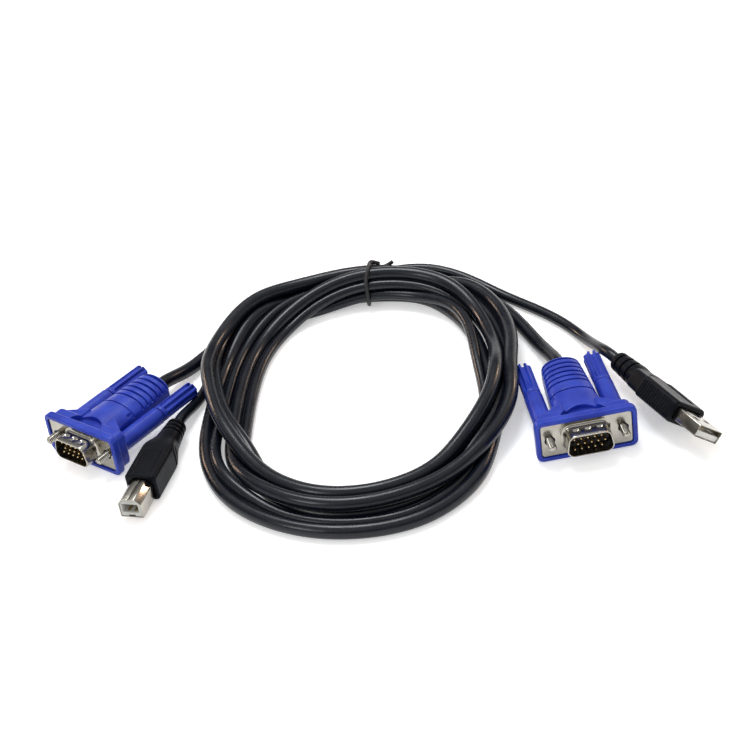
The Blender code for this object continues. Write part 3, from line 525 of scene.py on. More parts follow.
def combine(target, tool, operation="DIFFERENCE"):
    """Exact Boolean; the tool is used up."""
    modified(target, "BOOLEAN", operation=operation, solver="EXACT", object=tool)
    bpy.data.objects.remove(tool)
    return target


def cut(target, *lofts):
    """Take closed lofts away from an object."""
    return combine(target, solid("cutter", *lofts))


def weld(target, *lofts):
    """Add closed lofts to an object."""
    return combine(target, solid("addition", *lofts), "UNION")


def softened(obj, voxel, rounds=3, keep=0.42):
    """Round every edge a little: voxel remesh, smoothing, then fewer faces where it is flat."""
    modified(obj, "REMESH", mode="VOXEL", voxel_size=voxel)
    modified(obj, "SMOOTH", factor=0.5, iterations=rounds)
    modified(obj, "DECIMATE", ratio=keep)
    obj.data.shade_smooth()
    return obj


def creased(obj, degrees):
    """Smooth shading, with hard edges where the faces turn by more than this."""
    obj.data.shade_smooth()
    obj.data.set_sharp_from_angle(angle=math.radians(degrees))
    return obj


def crisp(obj, width):
    """Small bevel for pressed and turned metal."""
    modified(obj, "BEVEL", width=width, segments=2, limit_method="ANGLE",
             angle_limit=math.radians(30), harden_normals=False)
    return creased(obj, 40)


print("tools ready")

# %% [markdown]
# ## From lines to cords
# A cord is a round section swept along its line. The section's frame turns as
# little as possible, so it never twists. A UV map goes with it: u runs around the
# cord, v along it in metres. The jacket's drawing lines are painted in that map,
# so they follow every bend.

# %% Sweep
MOUTH = 2.0             # how deep a cord's end sits in its plug
CORD_STEP = 1.3         # distance between a cord's sections
to_metres = to_frame(Matrix.Identity(4))


def read(items, field, width, kind=float):
    """One field of a mesh's items, as rows of numbers."""
    values = np.empty(len(items) * width, kind)
    items.foreach_get(field, values)
    return values.reshape(-1, width)


def swept(name, line, diameter, count):
    """A round section carried along a line in the coil's frame, with its UV map."""
    section = np.array(circle(diameter / 2, count))
    ahead = unit(np.gradient(line, axis=0))
    side = unit(np.cross(ahead[0], (0.0, 0.0, 1.0)))
    sides = []
    for way in ahead:
        side = unit(side - way * (side @ way))
        sides.append(side)
    sides = np.array(sides)
    ups = np.cross(sides, ahead)
    made = solid(name, line[:, None] + sides[:, None] * section[:, :1]
                 + ups[:, None] * section[:, 1:])
    mesh = made.data
    mesh.transform(to_metres)
    corner = read(mesh.loops, "vertex_index", 1, int)[:, 0]
    quads = corner[:4 * (len(line) - 1) * count].reshape(-1, 4)
    first = np.arange(len(quads))[:, None] % count
    around = np.where(quads % count >= first, quads % count, count) / count
    flat = np.zeros((len(corner), 2))
    flat[:quads.size] = np.stack([around, along(line)[quads // count] * MM], -1).reshape(-1, 2)
    mesh.uv_layers.new(name="UVMap").data.foreach_set("uv", flat.ravel())
    mesh.shade_smooth()
    return made


def into_plugs(line, reach):
    """The line with both ends carried a little further, into the plugs' mouths."""
    return np.vstack([line[0] + unit(line[0] - line[1]) * reach, line,
                      line[-1] + unit(line[-1] - line[-2]) * reach])


vga_line, usb_line = (evenly(rounded_line(into_plugs(line, MOUTH)), CORD_STEP)
                      for line in (thick_line, thin_line))
vga_cord = swept("vga_cord", vga_line, THICK_D, 24)
usb_cord = swept("usb_cord", usb_line, THIN_D, 20)
print("cords:", len(vga_cord.data.polygons) + len(usb_cord.data.polygons), "faces")

# %% [markdown]
# ## The web
# The twin jackets are joined by a thin web of the same PVC. It is a narrow strip
# from one cord's skin to the other's, and it ends in a tear at both branches.

# %% Web
WEB_THICK = 1.3
WEB_SKIP = 4            # points left free at each end, where the cords part
TEAR = 4                # points over which the web thins out

line_a = thick_line[twin_thick[WEB_SKIP]:twin_thick[-WEB_SKIP] + 1]
line_b = thin_line[twin_thin[WEB_SKIP]:twin_thin[-WEB_SKIP] + 1]
across = unit(line_b - line_a)
web_middle = line_a + across * (THICK_D / 2)
upward = np.cross(unit(np.gradient(web_middle, axis=0)), across) * WEB_THICK
from_start = np.arange(len(across))
share = np.minimum(1.0, np.minimum(from_start, from_start[::-1]) / TEAR + 0.1)
corners = ((-0.28, -0.5), (0.34, -0.5), (0.34, 0.5), (-0.28, 0.5))
cord_web = solid("cord_web", [[m + a * u + up * v * size for u, v in corners]
                              for m, a, up, size in zip(web_middle, across, upward, share)])
cord_web.data.transform(to_metres)
print("web:", len(cord_web.data.polygons), "faces")

# %% [markdown]
# ## The wire tie
# A coated wire holds the turns together at the top. A plane cuts the bundle
# there, and the wire lies on the hull of all the round sections, so it is snug
# whatever way the cords have settled. Its two ends lie along the bundle.

# %% Tie
TIE_X = 4.0
TIE_D = 1.55


def bundle_hull(at_x, spare):
    """Hull (y, z) around every cord that crosses the plane x = at_x, kept off by spare."""
    found = set()
    for line, diameter in ((thick_line, THICK_D), (thin_line, THIN_D)):
        x = line[:, 0] - at_x
        for k in np.where((x[:-1] * x[1:] <= 0) & (line[:-1, 1] > 20))[0]:
            middle = line[k] + (line[k + 1] - line[k]) * x[k] / (x[k] - x[k + 1])
            found.update(circle(diameter / 2 + spare, 24, middle[1:]))
    hull = []
    for order in (sorted(found), sorted(found)[::-1]):
        start = len(hull)
        for p in order:
            while len(hull) - start >= 2:
                (ax, az), (bx, bz) = hull[-2], hull[-1]
                if (bx - ax) * (p[1] - az) - (bz - az) * (p[0] - ax) > 0:
                    break
                hull.pop()
            hull.append(p)
        hull.pop()
    return np.array(hull + hull[:1])


hull = bundle_hull(TIE_X, TIE_D / 2 + 0.05)
loop = evenly(np.insert(hull, 0, TIE_X, axis=1), 1.0)[:-1]
loop = np.roll(loop, -int(np.argmax(loop[:, 2] + 0.72 * loop[:, 1])), axis=0)
crown = loop[0].copy()
lean = np.cos(np.linspace(0.0, 2 * math.pi, len(loop)))
loop[:, 0] += 1.7 * lean - 1.2 * (1 - np.abs(lean)) + np.linspace(-0.8, 0.8, len(loop))
front_end = crown + np.array([(5.0, 0.1, -1.3), (3.4, 0.2, -0.5), (1.8, 0.1, 0.2)])
rear_end = crown + np.array([(1.6, 0.9, -1.6), (4.0, 1.3, -3.6), (7.4, 1.3, -3.4),
                             (10.2, 1.0, -1.9)])
tie_line = rounded_line(np.vstack([front_end, loop[2:-2], rear_end]), 0.6)
# it stays above the floor, and bites into the jackets below
tie_line[:, 2] = np.maximum(tie_line[:, 2], TIE_D / 2)
wire_tie = swept("wire_tie_loop", tie_line, TIE_D, 12)
print("tie:", round(along(tie_line)[-1], 1), "mm of wire")

# %% [markdown]
# ## Geometry Nodes for what repeats
# Grip grooves, ridges, ring slots, contacts, flutes and pins all repeat by a
# rule, so each rule is one small node tree with named sizes. The tree takes one
# item as its input geometry, places copies of it and realises them. The result
# becomes a plain mesh at once: sometimes the piece itself, sometimes a cutter.

# %% Node trees
class Nodes:
    """A node tree with short ways to add to it."""

    def __init__(self, tree):
        self.tree = tree

    def node(self, kind, inputs=None, **settings):
        """Add a node; an input is a value, or another node's output socket."""
        made = self.tree.nodes.new(kind)
        for key, value in settings.items():
            setattr(made, key, value)
        for key, value in (inputs or {}).items():
            if isinstance(value, bpy.types.NodeSocket):
                self.tree.links.new(value, made.inputs[key])
            else:
                made.inputs[key].default_value = value
        return made

    def value(self, kind, inputs=None, **settings):
        """First output of a new node."""
        return self.node(kind, inputs, **settings).outputs[0]

    def math(self, operation, first, second=0.0):
        """Output of a Math node."""
        return self.value("ShaderNodeMath", {0: first, 1: second}, operation=operation)

    def vector(self, x, y, z):
        """Output of a Combine XYZ node."""
        return self.value("ShaderNodeCombineXYZ", {0: x, 1: y, 2: z})


class Rule(Nodes):
    """A Geometry Nodes tree with one input geometry and named sizes."""

    def __init__(self, name, **sizes):
        super().__init__(bpy.data.node_groups.new(name, "GeometryNodeTree"))
        face = self.tree.interface
        face.new_socket("Geometry", in_out="INPUT", socket_type="NodeSocketGeometry")
        self.ids = {}
        for label, kind in {**sizes, "Material": "Material"}.items():
            socket = face.new_socket(label, in_out="INPUT", socket_type="NodeSocket" + kind)
            self.ids[label] = socket.identifier
        face.new_socket("Geometry", in_out="OUTPUT", socket_type="NodeSocketGeometry")
        self.start = self.tree.nodes.new("NodeGroupInput")

    def __getitem__(self, label):
        return self.start.outputs[label]

    def copies(self, points, **extra):
        """Close the tree with the item on every point."""
        return self.close(self.value("GeometryNodeInstanceOnPoints",
                                     {"Points": points, "Instance": self["Geometry"], **extra}))

    def close(self, geometry):
        """Realize the instances, set the material and close the tree."""
        real = self.value("GeometryNodeRealizeInstances", {0: geometry})
        painted = self.value("GeometryNodeSetMaterial",
                             {"Geometry": real, "Material": self["Material"]})
        self.node("NodeGroupOutput", {0: painted})
        return self

    def points(self, count, offset=(0.0, 0.0, 0.0)):
        """Points in a line, or all at one place."""
        return self.value("GeometryNodeMeshLine", {"Count": count, "Offset": offset})


def row_rule():
    """Copies in a line; each is a little narrower in x and z than the one before."""
    rule = Rule("row", Count="Int", Pitch="Vector", Narrowing="Float")
    index = rule.value("GeometryNodeInputIndex")
    size = rule.math("SUBTRACT", 1.0, rule.math("MULTIPLY", index, rule["Narrowing"]))
    return rule.copies(rule.points(rule["Count"], rule["Pitch"]),
                       Scale=rule.vector(size, 1.0, size))


def ring_rule():
    """Copies turned around the y axis."""
    rule = Rule("ring", Count="Int")
    share = rule.math("DIVIDE", rule.value("GeometryNodeInputIndex"), rule["Count"])
    turn = rule.math("MULTIPLY", share, 2 * math.pi)
    return rule.copies(rule.points(rule["Count"]), Rotation=rule.vector(0.0, turn, 0.0))


def pin_rule():
    """Three rows of five, the middle row shifted half a pitch."""
    rule = Rule("pin_field", Pitch="Float", Row_pitch="Float")
    index = rule.value("GeometryNodeInputIndex")
    column = rule.math("SUBTRACT", rule.math("MODULO", index, 5.0), 2.0)
    row = rule.math("SUBTRACT", 1.0, rule.math("FLOOR", rule.math("DIVIDE", index, 5.0)))
    middle = rule.math("SUBTRACT", 0.5, rule.math("ABSOLUTE", row))
    column = rule.math("ADD", column, rule.math("MULTIPLY", middle, 0.5))
    place = rule.vector(rule.math("MULTIPLY", column, rule["Pitch"]), 0.0,
                        rule.math("MULTIPLY", row, rule["Row_pitch"]))
    return rule.copies(rule.value("GeometryNodeSetPosition",
                                  {"Geometry": rule.points(15), "Position": place}))


def thread_rule():
    """Turns a plain shank into a screw: the radius follows a triangle wave along a helix."""
    rule = Rule("thread", Pitch="Float", Depth="Float", Until="Float")
    place = rule.value("GeometryNodeInputPosition")
    x, y, z = rule.node("ShaderNodeSeparateXYZ", {0: place}).outputs
    turn = rule.math("DIVIDE", rule.math("ARCTAN2", z, x), 2 * math.pi)
    phase = rule.math("ADD", rule.math("DIVIDE", y, rule["Pitch"]), turn)
    wave = rule.math("MULTIPLY", rule.math("PINGPONG", phase, 0.5), 2.0)
    radius = rule.math("SQRT", rule.math("ADD", rule.math("MULTIPLY", x, x),
                                         rule.math("MULTIPLY", z, z)))
    near_axis = 0.2
    sink = rule.math("MULTIPLY", wave, rule["Depth"])
    for where in (rule.math("LESS_THAN", y, rule["Until"]),
                  rule.math("GREATER_THAN", radius, near_axis)):
        sink = rule.math("MULTIPLY", sink, where)
    share = rule.math("DIVIDE", sink, rule.math("MAXIMUM", radius, near_axis))
    inward = rule.math("MULTIPLY", share, -1.0)
    move = rule.vector(rule.math("MULTIPLY", x, inward), 0.0, rule.math("MULTIPLY", z, inward))
    return rule.close(rule.value("GeometryNodeSetPosition",
                                 {"Geometry": rule["Geometry"], "Offset": move}))


ROW, RING_OF, PINS, THREAD = row_rule(), ring_rule(), pin_rule(), thread_rule()


def by_rule(obj, rule, **sizes):
    """Run a rule on an object and keep the result as its plain mesh."""
    step = obj.modifiers.new("rule", "NODES")
    step.node_group = rule.tree
    for label, value in sizes.items():
        step[rule.ids[label]] = value
    return baked(obj)


def in_row(item, count, pitch, first, narrowing=0.0):
    """Copies of an item in a row, from a first place on."""
    by_rule(item, ROW, Count=count, Pitch=pitch, Narrowing=narrowing)
    item.data.transform(Matrix.Translation(first))
    return item


print("rules:", [r.tree.name for r in (ROW, RING_OF, PINS, THREAD)])

# %% [markdown]
# ## Finishes
# Every finish is a Principled shader whose colour, roughness and bump come from
# procedural textures. The plastics have a fine moulded grain. An "edge" attribute,
# measured from the mesh, tells outer edges from hollows: outer edges are lightened
# for slight wear and as a painted highlight, hollows are darkened for dust and as
# painted shade.

# %% Shader tools
class Finish(Nodes):
    """A node material around one Principled shader."""

    def __init__(self, name, **values):
        self.material = bpy.data.materials.new(name)
        self.material.use_nodes = True
        super().__init__(self.material.node_tree)
        self.shader = self.tree.nodes["Principled BSDF"]
        for label, value in values.items():
            self.shader.inputs[label.replace("_", " ")].default_value = value
        self.object_space = self.node("ShaderNodeTexCoord").outputs["Object"]

    def noise(self, scale, detail=3.0, space=None, stretch=(1.0, 1.0, 1.0)):
        """Noise from 0 to 1 at a scale in copies per metre."""
        space = self.object_space if space is None else space
        moved = self.value("ShaderNodeMapping", {"Vector": space, "Scale": stretch})
        return self.value("ShaderNodeTexNoise", {"Vector": moved, "Scale": scale,
                                                 "Detail": detail})

    def ranged(self, value, low, high, start=0.3, end=0.7):
        """Map a texture to a span of values."""
        return self.value("ShaderNodeMapRange", {"Value": value, "From Min": start,
                                                 "From Max": end, "To Min": low, "To Max": high})

    def blended(self, share, first, second):
        """Mix two colours; each is a colour or a socket."""
        first, second = ((*c, 1.0) if isinstance(c, tuple) else c for c in (first, second))
        return self.node("ShaderNodeMix", {0: share, 6: first, 7: second},
                         data_type="RGBA").outputs[2]

    def cloudy(self, scale, deep, pale):
        """Colour that drifts between a deep and a pale tone."""
        return self.blended(self.ranged(self.noise(scale, 4.0), 0.0, 1.0), deep, pale)

    def bump(self, height, distance, strength=0.5, below=None):
        """Bump from a height texture; distance in metres."""
        inputs = {"Height": height, "Distance": distance, "Strength": strength}
        return self.value("ShaderNodeBump", inputs if below is None else {**inputs,
                                                                          "Normal": below})

    def set(self, **sockets):
        """Link textures to the shader's inputs."""
        for label, socket in sockets.items():
            self.tree.links.new(socket, self.shader.inputs[label.replace("_", " ")])
        return self.material


def moulded(name, deep, pale, rough, grain, grain_depth, gloss=0.5):
    """Moulded plastic: cloudy colour, grain, painted highlight and wear on edges, painted shade
    and dust in hollows.
    """
    paint = Finish(name, Specular_IOR_Level=gloss)
    colour = paint.cloudy(160.0, deep, pale)
    edge = paint.node("ShaderNodeAttribute", attribute_name="edge").outputs["Fac"]
    # painted highlight, partly wear: outer edges are lightened towards a paler tone
    rim = paint.ranged(edge, 0.0, 0.45, 0.10, 0.55)
    colour = paint.blended(rim, colour, tuple(min(1.0, c * 1.5 + 0.008) for c in pale))
    # painted shade, partly dust: hollows are darkened towards a deeper tone
    dust_and_shade = paint.ranged(edge, 0.55, 0.0, -0.6, -0.05)
    colour = paint.blended(dust_and_shade, colour, tuple(c * 0.35 for c in deep))
    smear = paint.ranged(paint.noise(90.0, 5.0), *rough)
    normal = paint.bump(paint.noise(420.0, 2.0), 0.00006, 0.35)
    normal = paint.bump(paint.noise(grain, 2.0), grain_depth, 0.5, normal)
    return paint.set(Base_Color=colour, Roughness=smear, Normal=normal)


def pressed(name, deep, pale, rough):
    """Plated sheet metal: faint rolling lines and smudges."""
    paint = Finish(name, Metallic=1.0)
    lines = paint.noise(2600.0, 3.0, stretch=(1.0, 0.08, 0.5))
    smudge = paint.ranged(paint.noise(300.0, 5.0), *rough)
    return paint.set(Base_Color=paint.cloudy(260.0, deep, pale), Roughness=smudge,
                     Normal=paint.bump(lines, 0.000006, 0.20))


def jacket(name, deep, pale):
    """Cord PVC: drawing lines along the cord, a soft mottle and light scuffs."""
    paint = Finish(name, Specular_IOR_Level=0.36)
    flat = paint.value("ShaderNodeUVMap", uv_map="UVMap")
    scuff = paint.ranged(paint.noise(700.0, 6.0), 0.0, 0.5, 0.62, 0.80)
    colour = paint.blended(scuff, paint.cloudy(210.0, deep, pale), tuple(c * 2.2 for c in pale))
    rough = paint.ranged(paint.noise(130.0, 4.0), 0.20, 0.33)
    normal = paint.bump(paint.noise(14.0, 3.0, flat, (3.0, 2.0, 1.0)), 0.00008, 0.18)
    normal = paint.bump(paint.noise(2400.0, 2.0), 0.000015, 0.2, normal)
    return paint.set(Base_Color=colour, Roughness=rough, Normal=normal)


BLUE = moulded("blue hood PVC", (0.010, 0.030, 0.36), (0.022, 0.056, 0.47), (0.30, 0.44),
               3200.0, 0.00003, 0.35)
BLACK = moulded("black boot PVC", (0.0032, 0.0040, 0.0068), (0.0058, 0.0070, 0.0105),
                (0.28, 0.42), 4200.0, 0.00004, 0.08)
JACKET = jacket("black cord PVC", (0.0024, 0.0036, 0.0080), (0.0050, 0.0070, 0.0135))
NICKEL = pressed("nickel plate", (0.33, 0.31, 0.27), (0.43, 0.41, 0.365), (0.12, 0.24))
GOLD = pressed("gold plate", (0.62, 0.44, 0.20), (0.78, 0.60, 0.34), (0.16, 0.28))
CORE_BLACK = moulded("black insulator", (0.006, 0.009, 0.014), (0.012, 0.017, 0.024),
                     (0.30, 0.46), 5000.0, 0.00002)
CORE_GREY = moulded("grey insert", (0.44, 0.45, 0.42), (0.56, 0.57, 0.53), (0.40, 0.55),
                    5000.0, 0.00002)
CORE_WHITE = moulded("white tongue", (0.68, 0.67, 0.62), (0.80, 0.79, 0.74), (0.36, 0.50),
                     5000.0, 0.00002)
TIE = moulded("tie coating", (0.008, 0.008, 0.009), (0.018, 0.018, 0.019), (0.50, 0.66),
              3000.0, 0.00004)


def at_both_ends(count, ends, values):
    """Sum of what every edge gives to its two ends."""
    total = np.zeros(count)
    for end, value in zip(ends, values):
        np.add.at(total, end, value)
    return total


def measured_edges(mesh, rounds=2):
    """Store on each vertex how much the surface bulges (+) or sinks (-) there."""
    count = len(mesh.vertices)
    place = read(mesh.vertices, "co", 3)
    normal = read(mesh.vertex_normals, "vector", 3)
    a, b = read(mesh.edges, "vertices", 2, int).T
    step = place[b] - place[a]
    size = np.linalg.norm(step, axis=1) + 1e-12
    shares = np.maximum(at_both_ends(count, (a, b), (1, 1)), 1)
    bulge = at_both_ends(count, (a, b), (-(step * normal[a]).sum(1) / size,
                                         (step * normal[b]).sum(1) / size)) / shares
    for _ in range(rounds):
        bulge = 0.5 * bulge + 0.5 * at_both_ends(count, (a, b), (bulge[b], bulge[a])) / shares
    layer = mesh.attributes.new("edge", "FLOAT", "POINT")
    layer.data.foreach_set("value", np.clip(bulge * 1.6, -1, 1).astype(np.float32))


pieces = []


def laid(source, place, material, slot, name, nodes, body="cable", shift=0.0):
    """Lay a copy of a piece in the frame, paint it, and note its body and its CAD nodes."""
    made = shown(name, source.data.copy())
    made.data.transform(Matrix.Translation((shift, 0.0, 0.0)))
    made.data.transform(to_frame(plug_matrix(place)))
    made.data.materials.clear()
    made.data.materials.append(material)
    measured_edges(made.data)
    pieces.append((made, body, nodes, slot))


print("finishes:", [m.name for m in (BLUE, BLACK, JACKET, NICKEL, GOLD)])

# %% [markdown]
# ## Monitor plug: the blue hood
# The hood is one moulding: a stepped flange, a body with an arched back, two
# screw sleeves, four gussets, and a crescent scooped out behind the flange. Its
# sizes are in millimetres. The six grip grooves come from one cutter and the row
# rule, and they stop at the body's side walls, as on the real plug.

# %% Hood
SCREW_X = 24.99 / 2
RIM_W, RIM_H, RIM_R, RIM_LIP, RIM_DEPTH, RIM_BEVEL = 34.6, 16.1, 2.4, 0.6, 2.4, 0.4
PLATE_W, PLATE_H, PLATE_T, PLATE_FIT = 30.69, 12.2, 0.8, 0.3
TIER_W, TIER_H, TIER_END = 32.7, 14.2, 6.8
HOOD_LENGTH, BODY_FRONT, BODY_REAR = 39.0, 8.9, 6.9     # with the body's half widths
BODY_TOP, BODY_SHOULDER, ARCH_STEPS = 6.4, 2.2, 20
TOWER_START, TOWER_END, TOWER_R, TOWER_BEVEL, BORE_R = 4.8, 26.3, 3.3, 0.35, 1.8
GUSSET_PLAN, GUSSET_TOP = ((6.0, 4.8), (13.4, 4.8), (13.4, 7.4), (6.0, 12.0)), 6.0
SCOOP_R, SCOOP_REACH, SCOOP_FLOOR, SCOOP_START = 8.6, 5.0, 4.6, 3.4
WELL_END = 8.8
GRIP_START, GRIP_PITCH, GRIP_COUNT, GRIP_W, GRIP_NARROWING = 24.2, 2.7, 6, 0.95, 0.020
LINE_Y, LINE_W, LINE_DEPTH = 19.0, 0.75, 0.65
HOOK_X, HOOK_HALF, HOOK_Y, HOOK_Z = 7.3, 0.35, (16.4, 19.3), (3.2, 5.6)


def body_half(y):
    """The body narrows from the flange to the cord end."""
    return BODY_FRONT + (BODY_REAR - BODY_FRONT) * (y - TIER_END) / (HOOD_LENGTH - TIER_END)


def arch(half, top=BODY_TOP, sides=(1, -1)):
    """Section of the body: an arch above and below upright side walls."""
    turns = [math.pi * step / ARCH_STEPS for step in range(ARCH_STEPS + 1)]
    return [(side * half * math.cos(turn),
             side * (BODY_SHOULDER + (top - BODY_SHOULDER) * math.sin(turn)))
            for side in sides for turn in turns]


def groove(side, half, width, depth, y=0.0):
    """One groove as a cutter: the skin of the arch on one side of the plug."""
    floor = BODY_SHOULDER - 0.6
    inner = arch(half - depth * 0.9, BODY_TOP - depth, (1,))
    outer = arch(half + 1.5, BODY_TOP + 1.5, (1,))[::-1]
    ring = [(x, side * max(floor, z)) for x, z in inner + outer]
    return prism(ring, y - width / 2, y + width / 2)


def d_outline(grow, steps=14):
    """Outline of the D-shaped shell, wide side down, offset outward by grow."""
    slant, radius, half_h, half_wide = math.radians(10), 2.6, 4.2, 8.45
    half_narrow = half_wide - 2 * half_h * math.tan(slant)
    corners = ((half_narrow, half_h), (-half_narrow, half_h), (-half_wide, -half_h),
               (half_wide, -half_h))
    first = (slant, math.pi / 2, math.pi - slant, 1.5 * math.pi)
    sweep = (math.pi / 2 - slant,) * 2 + (math.pi / 2 + slant,) * 2
    points = []
    for (x, z), start, turn in zip(corners, first, sweep):
        back = radius / math.cos(turn / 2)
        centre = (x - back * math.cos(start + turn / 2), z - back * math.sin(start + turn / 2))
        for angle in (start + turn * step / steps for step in range(steps + 1)):
            points.append((centre[0] + (radius + grow) * math.cos(angle),
                           centre[1] + (radius + grow) * math.sin(angle)))
    return points


def hood():
    """The blue moulding."""
    rim, tier = rounded_rect(RIM_W, RIM_H, RIM_R), rounded_rect(TIER_W, TIER_H, RIM_R)
    front = rounded_rect(RIM_W - 2 * RIM_BEVEL, RIM_H - 2 * RIM_BEVEL, RIM_R - RIM_BEVEL)
    back = rounded_rect(RIM_W - RIM_BEVEL, RIM_H - RIM_BEVEL, RIM_R)
    made = solid("hood", [at(front, -RIM_LIP), at(rim, RIM_BEVEL - RIM_LIP),
                          at(rim, RIM_DEPTH - RIM_BEVEL), at(back, RIM_DEPTH),
                          at(tier, RIM_DEPTH + 0.1), at(tier, TIER_END - 0.8),
                          at(scaled(tier, 0.96, 0.92), TIER_END)])
    rear = arch(BODY_REAR)
    weld(made, [at(arch(body_half(y)), y) for y in (4.0, 15.0, 30.0, HOOD_LENGTH - 0.9)]
         + [at(scaled(rear, 0.985, 0.98), HOOD_LENGTH - 0.4),
            at(scaled(rear, 0.93, 0.92), HOOD_LENGTH)])
    sweep = math.acos((SCOOP_R - SCOOP_REACH) / SCOOP_R)
    crescent = [(SCOOP_R * math.sin(t), SCOOP_START + SCOOP_REACH + SCOOP_R * (math.cos(t) - 1))
                for t in np.linspace(-sweep, sweep, 25)]
    for side in (-1, 1):
        centre = (side * SCREW_X, 0.0)
        weld(made, prism(circle(TOWER_R, 48, centre), TOWER_START, TOWER_END - TOWER_BEVEL)
             + [at(circle(TOWER_R - TOWER_BEVEL, 48, centre), TOWER_END)])
        weld(made, slab([(side * x, y) for x, y in GUSSET_PLAN], -GUSSET_TOP, GUSSET_TOP))
        cut(made, slab(crescent, side * SCOOP_FLOOR, side * RIM_H))
    pocket = rounded_rect(PLATE_W + 2 * PLATE_FIT, PLATE_H + 2 * PLATE_FIT, 1.2)
    cut(made, prism(pocket, -2.0, PLATE_T + PLATE_FIT))
    cut(made, *[prism(circle(BORE_R, 32, (side * SCREW_X, 0.0)), PLATE_T, TOWER_END + 1)
                for side in (-1, 1)])
    cut(made, prism(d_outline(PLATE_FIT), PLATE_T, WELL_END))
    for side in (-1, 1):
        grip = solid("grip", groove(side, body_half(GRIP_START), GRIP_W, GRIP_W))
        combine(made, in_row(grip, GRIP_COUNT, (0.0, GRIP_PITCH, 0.0), (0.0, GRIP_START, 0.0),
                             GRIP_NARROWING))
        cut(made, groove(side, body_half(LINE_Y), LINE_W, LINE_DEPTH, LINE_Y))
        for x in (-HOOK_X, HOOK_X):
            cut(made, box(x - HOOK_HALF, x + HOOK_HALF, *HOOK_Y, *(side * z for z in HOOK_Z)))
    cut(made, prism(circle(THICK_D / 2 + 0.25), HOOD_LENGTH - 3.0, HOOD_LENGTH + 1.0))
    return softened(made, 0.17, 4)


hood_piece = hood()
print("hood:", len(hood_piece.data.polygons), "faces")

# %% [markdown]
# ## Monitor plug: shell, insulator and pins
# The shell and its plate are pressed from one sheet, so the skirt flares into
# the plate with a round. Three dimples are pressed into its narrow side. The
# insulator stands inside it, and the pin rule sets fifteen pins in it.

# %% Shell and pins
SHELL_REACH, SHELL_WALL, FLARE, PLATE_HOLE_R = 5.9, 0.45, 1.1, 1.85
DIMPLE_PITCH, DIMPLE_HALF, DIMPLE_DEPTH = 4.0, (1.05, 0.95), 0.42
PIN_PLACES = {"Pitch": 2.29, "Row_pitch": 1.98}
PIN_R, PIN_HOLE_R = 0.38, 0.58


def fine_outline(grow, step=0.3):
    """The D outline with evenly spaced points, equally many for every offset."""
    points, base = (np.array(d_outline(g) + d_outline(g)[:1]) for g in (grow, 0.0))
    distance = along(points)
    wanted = np.linspace(0.0, distance[-1], int(along(base)[-1] / step), endpoint=False)
    return list(zip(*(np.interp(wanted, distance, points[:, k]) for k in (0, 1))))


def dimple(point):
    """How deep the press goes at a point of the skirt's narrow side."""
    depth = 0.0
    for index in (-1, 0, 1):
        across = abs(point.x - index * DIMPLE_PITCH) - DIMPLE_HALF[0]
        lengthwise = abs(point.y + SHELL_REACH * 0.52) - DIMPLE_HALF[1]
        share = min(1.0, max(0.0, 0.5 - max(across, lengthwise) / 0.5))
        depth = max(depth, DIMPLE_DEPTH * share * share * (3 - 2 * share))
    return depth


def vga_shell():
    """Plate and skirt of one sheet."""
    made = solid("shell", prism(rounded_rect(PLATE_W, PLATE_H, 1.0), 0.0, PLATE_T))
    rings = [at(fine_outline(FLARE), 0.3)]
    rings += [at(fine_outline(FLARE * (1 - math.sin(turn))), -FLARE * (1 - math.cos(turn)) - 0.02)
              for turn in np.linspace(0, math.pi / 2, 7)]
    rings += [at(fine_outline(0.0), y) for y in np.arange(-1.5, -SHELL_REACH + 0.3, -0.3)]
    rings += [at(fine_outline(grow), y - SHELL_REACH)
              for grow, y in ((0.0, 0.15), (-0.08, 0.03), (-0.2, 0.0))]
    weld(made, rings)
    levels = [-SHELL_REACH - 1.0, *np.arange(-SHELL_REACH + 0.1, -0.4, 0.3), 2.0]
    cut(made, [at(fine_outline(-SHELL_WALL), y) for y in levels],
        *[prism(circle(PLATE_HOLE_R, 32, (x, 0.0)), -1.0, 2.0) for x in (-SCREW_X, SCREW_X)])
    for v in made.data.vertices:
        if v.co.z > 2.0 and v.co.y < -0.6:
            v.co.z -= dimple(v.co)
    return creased(made, 38)


def pin(radius=PIN_R, front=-4.8, rear=8.2):
    """One round pin with a rounded tip."""
    tip = ((0.0, 0.25), (0.08, 0.55), (0.25, 0.85), (0.5, 1.0))
    return solid("pin", [at(circle(radius * share, 14), front + y) for y, share in tip]
                 + [at(circle(radius, 14), rear)])


def insulator():
    """Black core with a chamfered face and fifteen pin holes."""
    full, face = d_outline(-SHELL_WALL - 0.12), d_outline(-SHELL_WALL - 0.45)
    made = solid("insulator", [at(face, -0.8), at(full, -0.5), at(full, 5.6)])
    return crisp(combine(made, by_rule(pin(PIN_HOLE_R, -3.0, 7.0), PINS, **PIN_PLACES)), 0.05)


shell_piece = vga_shell()
core_piece = insulator()
pins_piece = by_rule(pin(), PINS, **PIN_PLACES)
pins_piece.data.shade_smooth()
print("shell:", len(shell_piece.data.polygons), "faces; pins:", len(pins_piece.data.polygons))

# %% [markdown]
# ## Monitor plug: thumbscrews
# Each knob and its screw turn as one body, so they are made around the screw's
# axis. The knob is a turned form with flutes cut by the ring rule and a slot for
# a coin; the screw's thread is a true helix from the thread rule.

# %% Thumbscrews
KNOB_R, KNOB_LENGTH, KNOB_FLUTES, FLUTE_R = 3.15, 18.3, 8, 0.85
SCREW_D, SCREW_REACH, SCREW_TAIL = 2.84, 5.0, 9.5
THREAD_PITCH, THREAD_DEPTH, SCREW_FIT = 0.635, 0.30, 0.3


